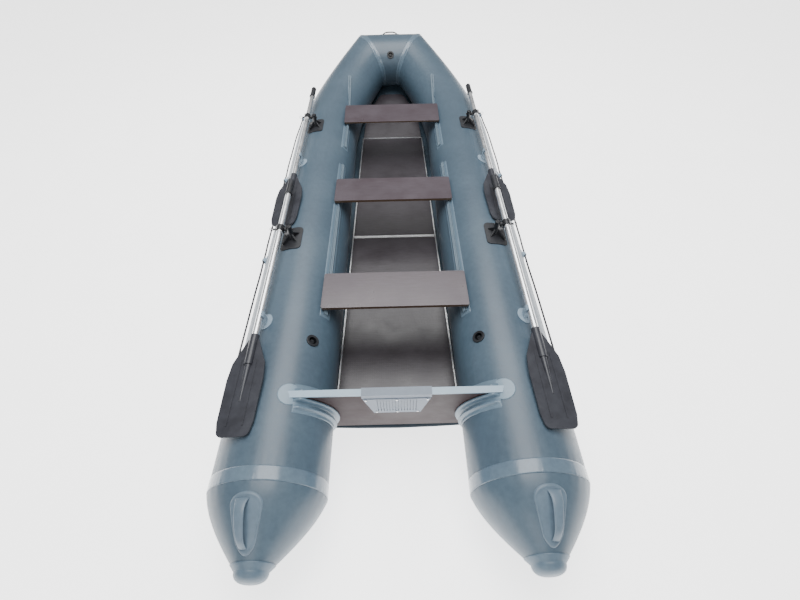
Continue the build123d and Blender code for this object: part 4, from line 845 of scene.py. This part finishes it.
patchLift = 0.0006 + sleeveSet["patchThick"] * smoothStep((1 - u) / 0.06 + 0.05) + 0.0016 * np.exp(-(u / 0.4) ** 2)
patchTop = onTube(patchY, patchAngle, patchLift)
patchLow = onTube(patchY[-1:], patchAngle[-1:], -0.001)
patchGrid = np.concatenate([patchTop, patchLow])
for side, sign in (("starboard", 1), ("port", -1)):
    points, faces = closedTube(patchGrid * (sign, 1, 1))
    piece = turnOutward(addMesh(side + "_transom_patch", points, faces, pvcPatch))
    sleevePieces.append(piece)
for piece in sleevePieces:
    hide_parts("transom_sleeves")
    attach(piece, "hull")

# bottom: cloth drawn into a shallow vee between the tubes, with the keel cushion over it
bottomSet = {"start": 0.060, "angle": -150.0, "turn": -20.0, "keel": 0.004, "rise": 0.236, "riseStart": 2.500}
skinS = np.linspace(bottomSet["start"], tubeEnd - 0.02, 150)
skinAngle = bottomSet["angle"] + bottomSet["turn"] * smoothStep((skinS - hullSet["bendStart"]) / (tubeEnd - hullSet["bendStart"]))
edge = onTube(skinS, skinAngle, 0.0012)
keelShare = np.clip((edge[:, 1] - bottomSet["riseStart"]) / (bowCentre[1] - bottomSet["riseStart"]), 0, None)
keelZ = bottomSet["keel"] + bottomSet["rise"] * keelShare ** 1.9
acrossBottom = np.linspace(-1, 1, 61)
vee = 1 - np.sqrt(acrossBottom ** 2 + 0.0009)
vee = (vee - vee[0]) / (vee.max() - vee[0])
sag = 0.5 * (1 - np.cos(2 * pi * np.abs(acrossBottom))) * 0.004
bottomGrid = np.stack([edge[:, None, 0] * acrossBottom[None],
                       np.broadcast_to(edge[:, None, 1], (len(skinS), 61)),
                       edge[:, None, 2] + (keelZ - edge[:, 2])[:, None] * vee[None] - sag[None]], -1)
bottomGrid[..., 2] = np.maximum(bottomGrid[..., 2], 0.0015)
bottom = closedStrip(bottomGrid, bottomGrid + (0, 0, 0.0015), "bottom_skin", pvcTube)
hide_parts("hull_bottom")
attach(bottom, "hull")

keelY = np.linspace(0.120, 2.700, 120)
keelShareAt = np.interp(keelY, [0.120, 0.330, 2.350, 2.700], [0.35, 1.0, 1.0, 0.45])
keelTurn = np.linspace(0, 2 * pi, 48, endpoint=False)
keelHigh = 0.0901
keelGrid = np.stack([0.098 * keelShareAt[:, None] * np.cos(keelTurn)[None],
                     np.broadcast_to(keelY[:, None], (120, 48)),
                     0.0970 - keelHigh * keelShareAt[:, None] / 2 + keelHigh * keelShareAt[:, None] / 2 * np.sin(keelTurn)[None]], -1)
points, faces = closedTube(keelGrid)
keel = turnOutward(addMesh("keel_cushion", points, faces, innerCloth))
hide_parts("keelson")
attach(keel, "hull")
print("transom sleeves and bottom")

# bow carry handle: black moulded strap on a pad, over the bow's top
bowHandleSet = {"angle": 30.0, "padLength": 0.205, "padWidth": 0.060, "strapHalf": 0.070, "rise": 0.021, "wide": 0.026}


def bowFrame(across, along, lift):
    # across is to starboard and along is forward over the bow's curve, from the handle's middle
    return onBow(across, bowHandleSet["angle"] + np.degrees(np.asarray(along) / hullSet["bowRadius"]), lift)


u, v = np.meshgrid(discU, discV, indexing="ij")
px, py = stadium(u, v, bowHandleSet["padLength"], bowHandleSet["padWidth"])
lift = 0.0028 * smoothStep((1 - u) / 0.08 + 0.05) * (0.8 + 0.4 * np.exp(-((u - 0.9) / 0.06) ** 2))
bowPadGrid = np.concatenate([bowFrame(py, px, lift), bowFrame(py[-1:], px[-1:], np.full(px[-1:].shape, -0.002))])
t = np.linspace(-1, 1, 60)
arch = 0.0015 + bowHandleSet["rise"] * (1 - np.abs(t) ** 3.4)
halfWide = bowHandleSet["wide"] / 2 * (1 + 0.3 * np.abs(t) ** 6)
strapAlong = halfWide[:, None] * sx[None]
strapLift = arch[:, None] + 0.0042 * sz[None]
bowStrapGrid = bowFrame(np.broadcast_to((t * bowHandleSet["strapHalf"])[:, None], strapAlong.shape), strapAlong, strapLift)
for name, grid in (("bow_handle_pad", bowPadGrid), ("bow_handle_strap", bowStrapGrid)):
    points, faces = closedTube(grid)
    piece = turnOutward(addMesh(name, points, faces, blackRubber))
    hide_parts("bow_carry_handle")
    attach(piece, "hull")

# rail flanges: glued fabric strips that hold each seat rail
flangeSet = {"half": 0.034, "thick": 0.0012}
railAngle = np.degrees(np.arcsin((0.355 - hullSet["offset"]) / hullSet["radius"]))
flangePlace, flangeLift = bandProfile(flangeSet["half"], flangeSet["thick"], 13)
flangeAngles = railAngle + np.degrees(flangePlace / hullSet["radius"])
for name, low, high in (("long", 0.475, 1.865), ("bow", 2.078, 2.395)):
    s = np.linspace(low, high, 80)[:, None]
    endFade = smoothStep((s - low) / 0.012 + 0.1) * smoothStep((high - s) / 0.012 + 0.1)
    top = onTube(s, flangeAngles[None], flangeLift[None] * endFade + 0.0003)
    under = onTube(s, flangeAngles[None], -0.0010)
    for side, sign in (("starboard", 1), ("port", -1)):
        piece = closedStrip(under * (sign, 1, 1), top * (sign, 1, 1), side + "_" + name + "_rail_flange", pvcSleeve)
        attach(piece, "hull")

# finishes of the rigid pieces
finishes = {
    "chamber_walls": innerCloth, "floor_panels": deckPly, "floor_bow_panel": deckPly,
    "floor_cross_profiles": extruded, "floor_side_stringers": extruded, "transom_board": transomPly,
    "transom_top_cap": capPlastic, "motor_pads": padPlastic, "motor_pad_screws": steel, "seat_rails": railPlastic, "valve_bodies": blackPlastic, "towing_ring": steel, "rope_eyelets": paleRubber,
    "oarlock_bases": blackRubber, "oar_clips": paleRubber,
}
for name in ("aft", "middle", "bow"):
    finishes[name + "_seat_board"] = seatPly
    finishes[name + "_seat_sliders"] = blackRubber
for name in ("starboard", "port", "bow"):
    finishes[name + "_valve_plunger"] = blackPlastic
for side in ("starboard", "port"):
    for end in ("aft", "fore"):
        start = side + "_" + end + "_"
        finishes[start + "swivel"] = blackPlastic
        finishes[start + "collar"] = blackPlastic
        finishes[start + "oar_shaft"] = anodised
        finishes[start + "oar_grip"] = gripPlastic
        finishes[start + "oar_blade"] = bladePlastic
for name, made in finishes.items():
    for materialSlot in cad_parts[name].material_slots:
        materialSlot.material = made
print("finishes on", len(finishes), "nodes")

# studio: pale floor, soft lights
studioSet = {"worldStrength": 0.42, "keyPower": 440, "fillPower": 60, "floorGlow": 2.4}
floorTone, tree = newMaterial("studioFloorPaint")
place = add(tree, "ShaderNodeTexCoord")
dust = add(tree, "ShaderNodeTexNoise", {"Scale": 3.0}, {"Vector": place.outputs["Object"]})
tone = ramp(tree, dust.outputs["Fac"], [(0.3, linear("#f0f0f0")), (0.7, linear("#f6f6f6"))])
paint = add(tree, "ShaderNodeBsdfPrincipled", {"Roughness": 0.6, "Emission Color": (1.0, 1.0, 1.0, 1.0),
                                              "Emission Strength": studioSet["floorGlow"]},
            {"Base Color": tone.outputs["Color"]})
finishMaterial(tree, paint)
size = 30.0
corners = np.array([(-size, -size, -0.0005), (size, -size, -0.0005), (size, size, -0.0005), (-size, size, -0.0005)])
floor = addMesh("studio_floor", corners, [np.array([[0, 1, 2, 3]])], floorTone, smooth=False)
world = bpy.data.worlds.new("softWorld")
scene.world = world
world.use_nodes = True
world.node_tree.nodes["Background"].inputs["Color"].default_value = (1.0, 1.0, 1.0, 1.0)
world.node_tree.nodes["Background"].inputs["Strength"].default_value = studioSet["worldStrength"]


def areaLight(name, place, target, size, power):
    data = bpy.data.lights.new(name, "AREA")
    data.shape = "RECTANGLE"
    data.size, data.size_y = size
    data.energy = power
    lamp = bpy.data.objects.new(name, data)
    scene.collection.objects.link(lamp)
    lamp.location = place
    lamp.rotation_mode = "QUATERNION"
    lamp.rotation_quaternion = (Vector(target) - Vector(place)).to_track_quat("-Z", "Y")


areaLight("overheadSoftbox", (0, 0.4, 5.2), (0, 0, 0), (3.6, 6.0), studioSet["keyPower"])
areaLight("sternFill", (-1.2, -6.0, 3.2), (0, -1.0, 0.3), (3.0, 2.0), studioSet["fillPower"])

print("pieces ready")
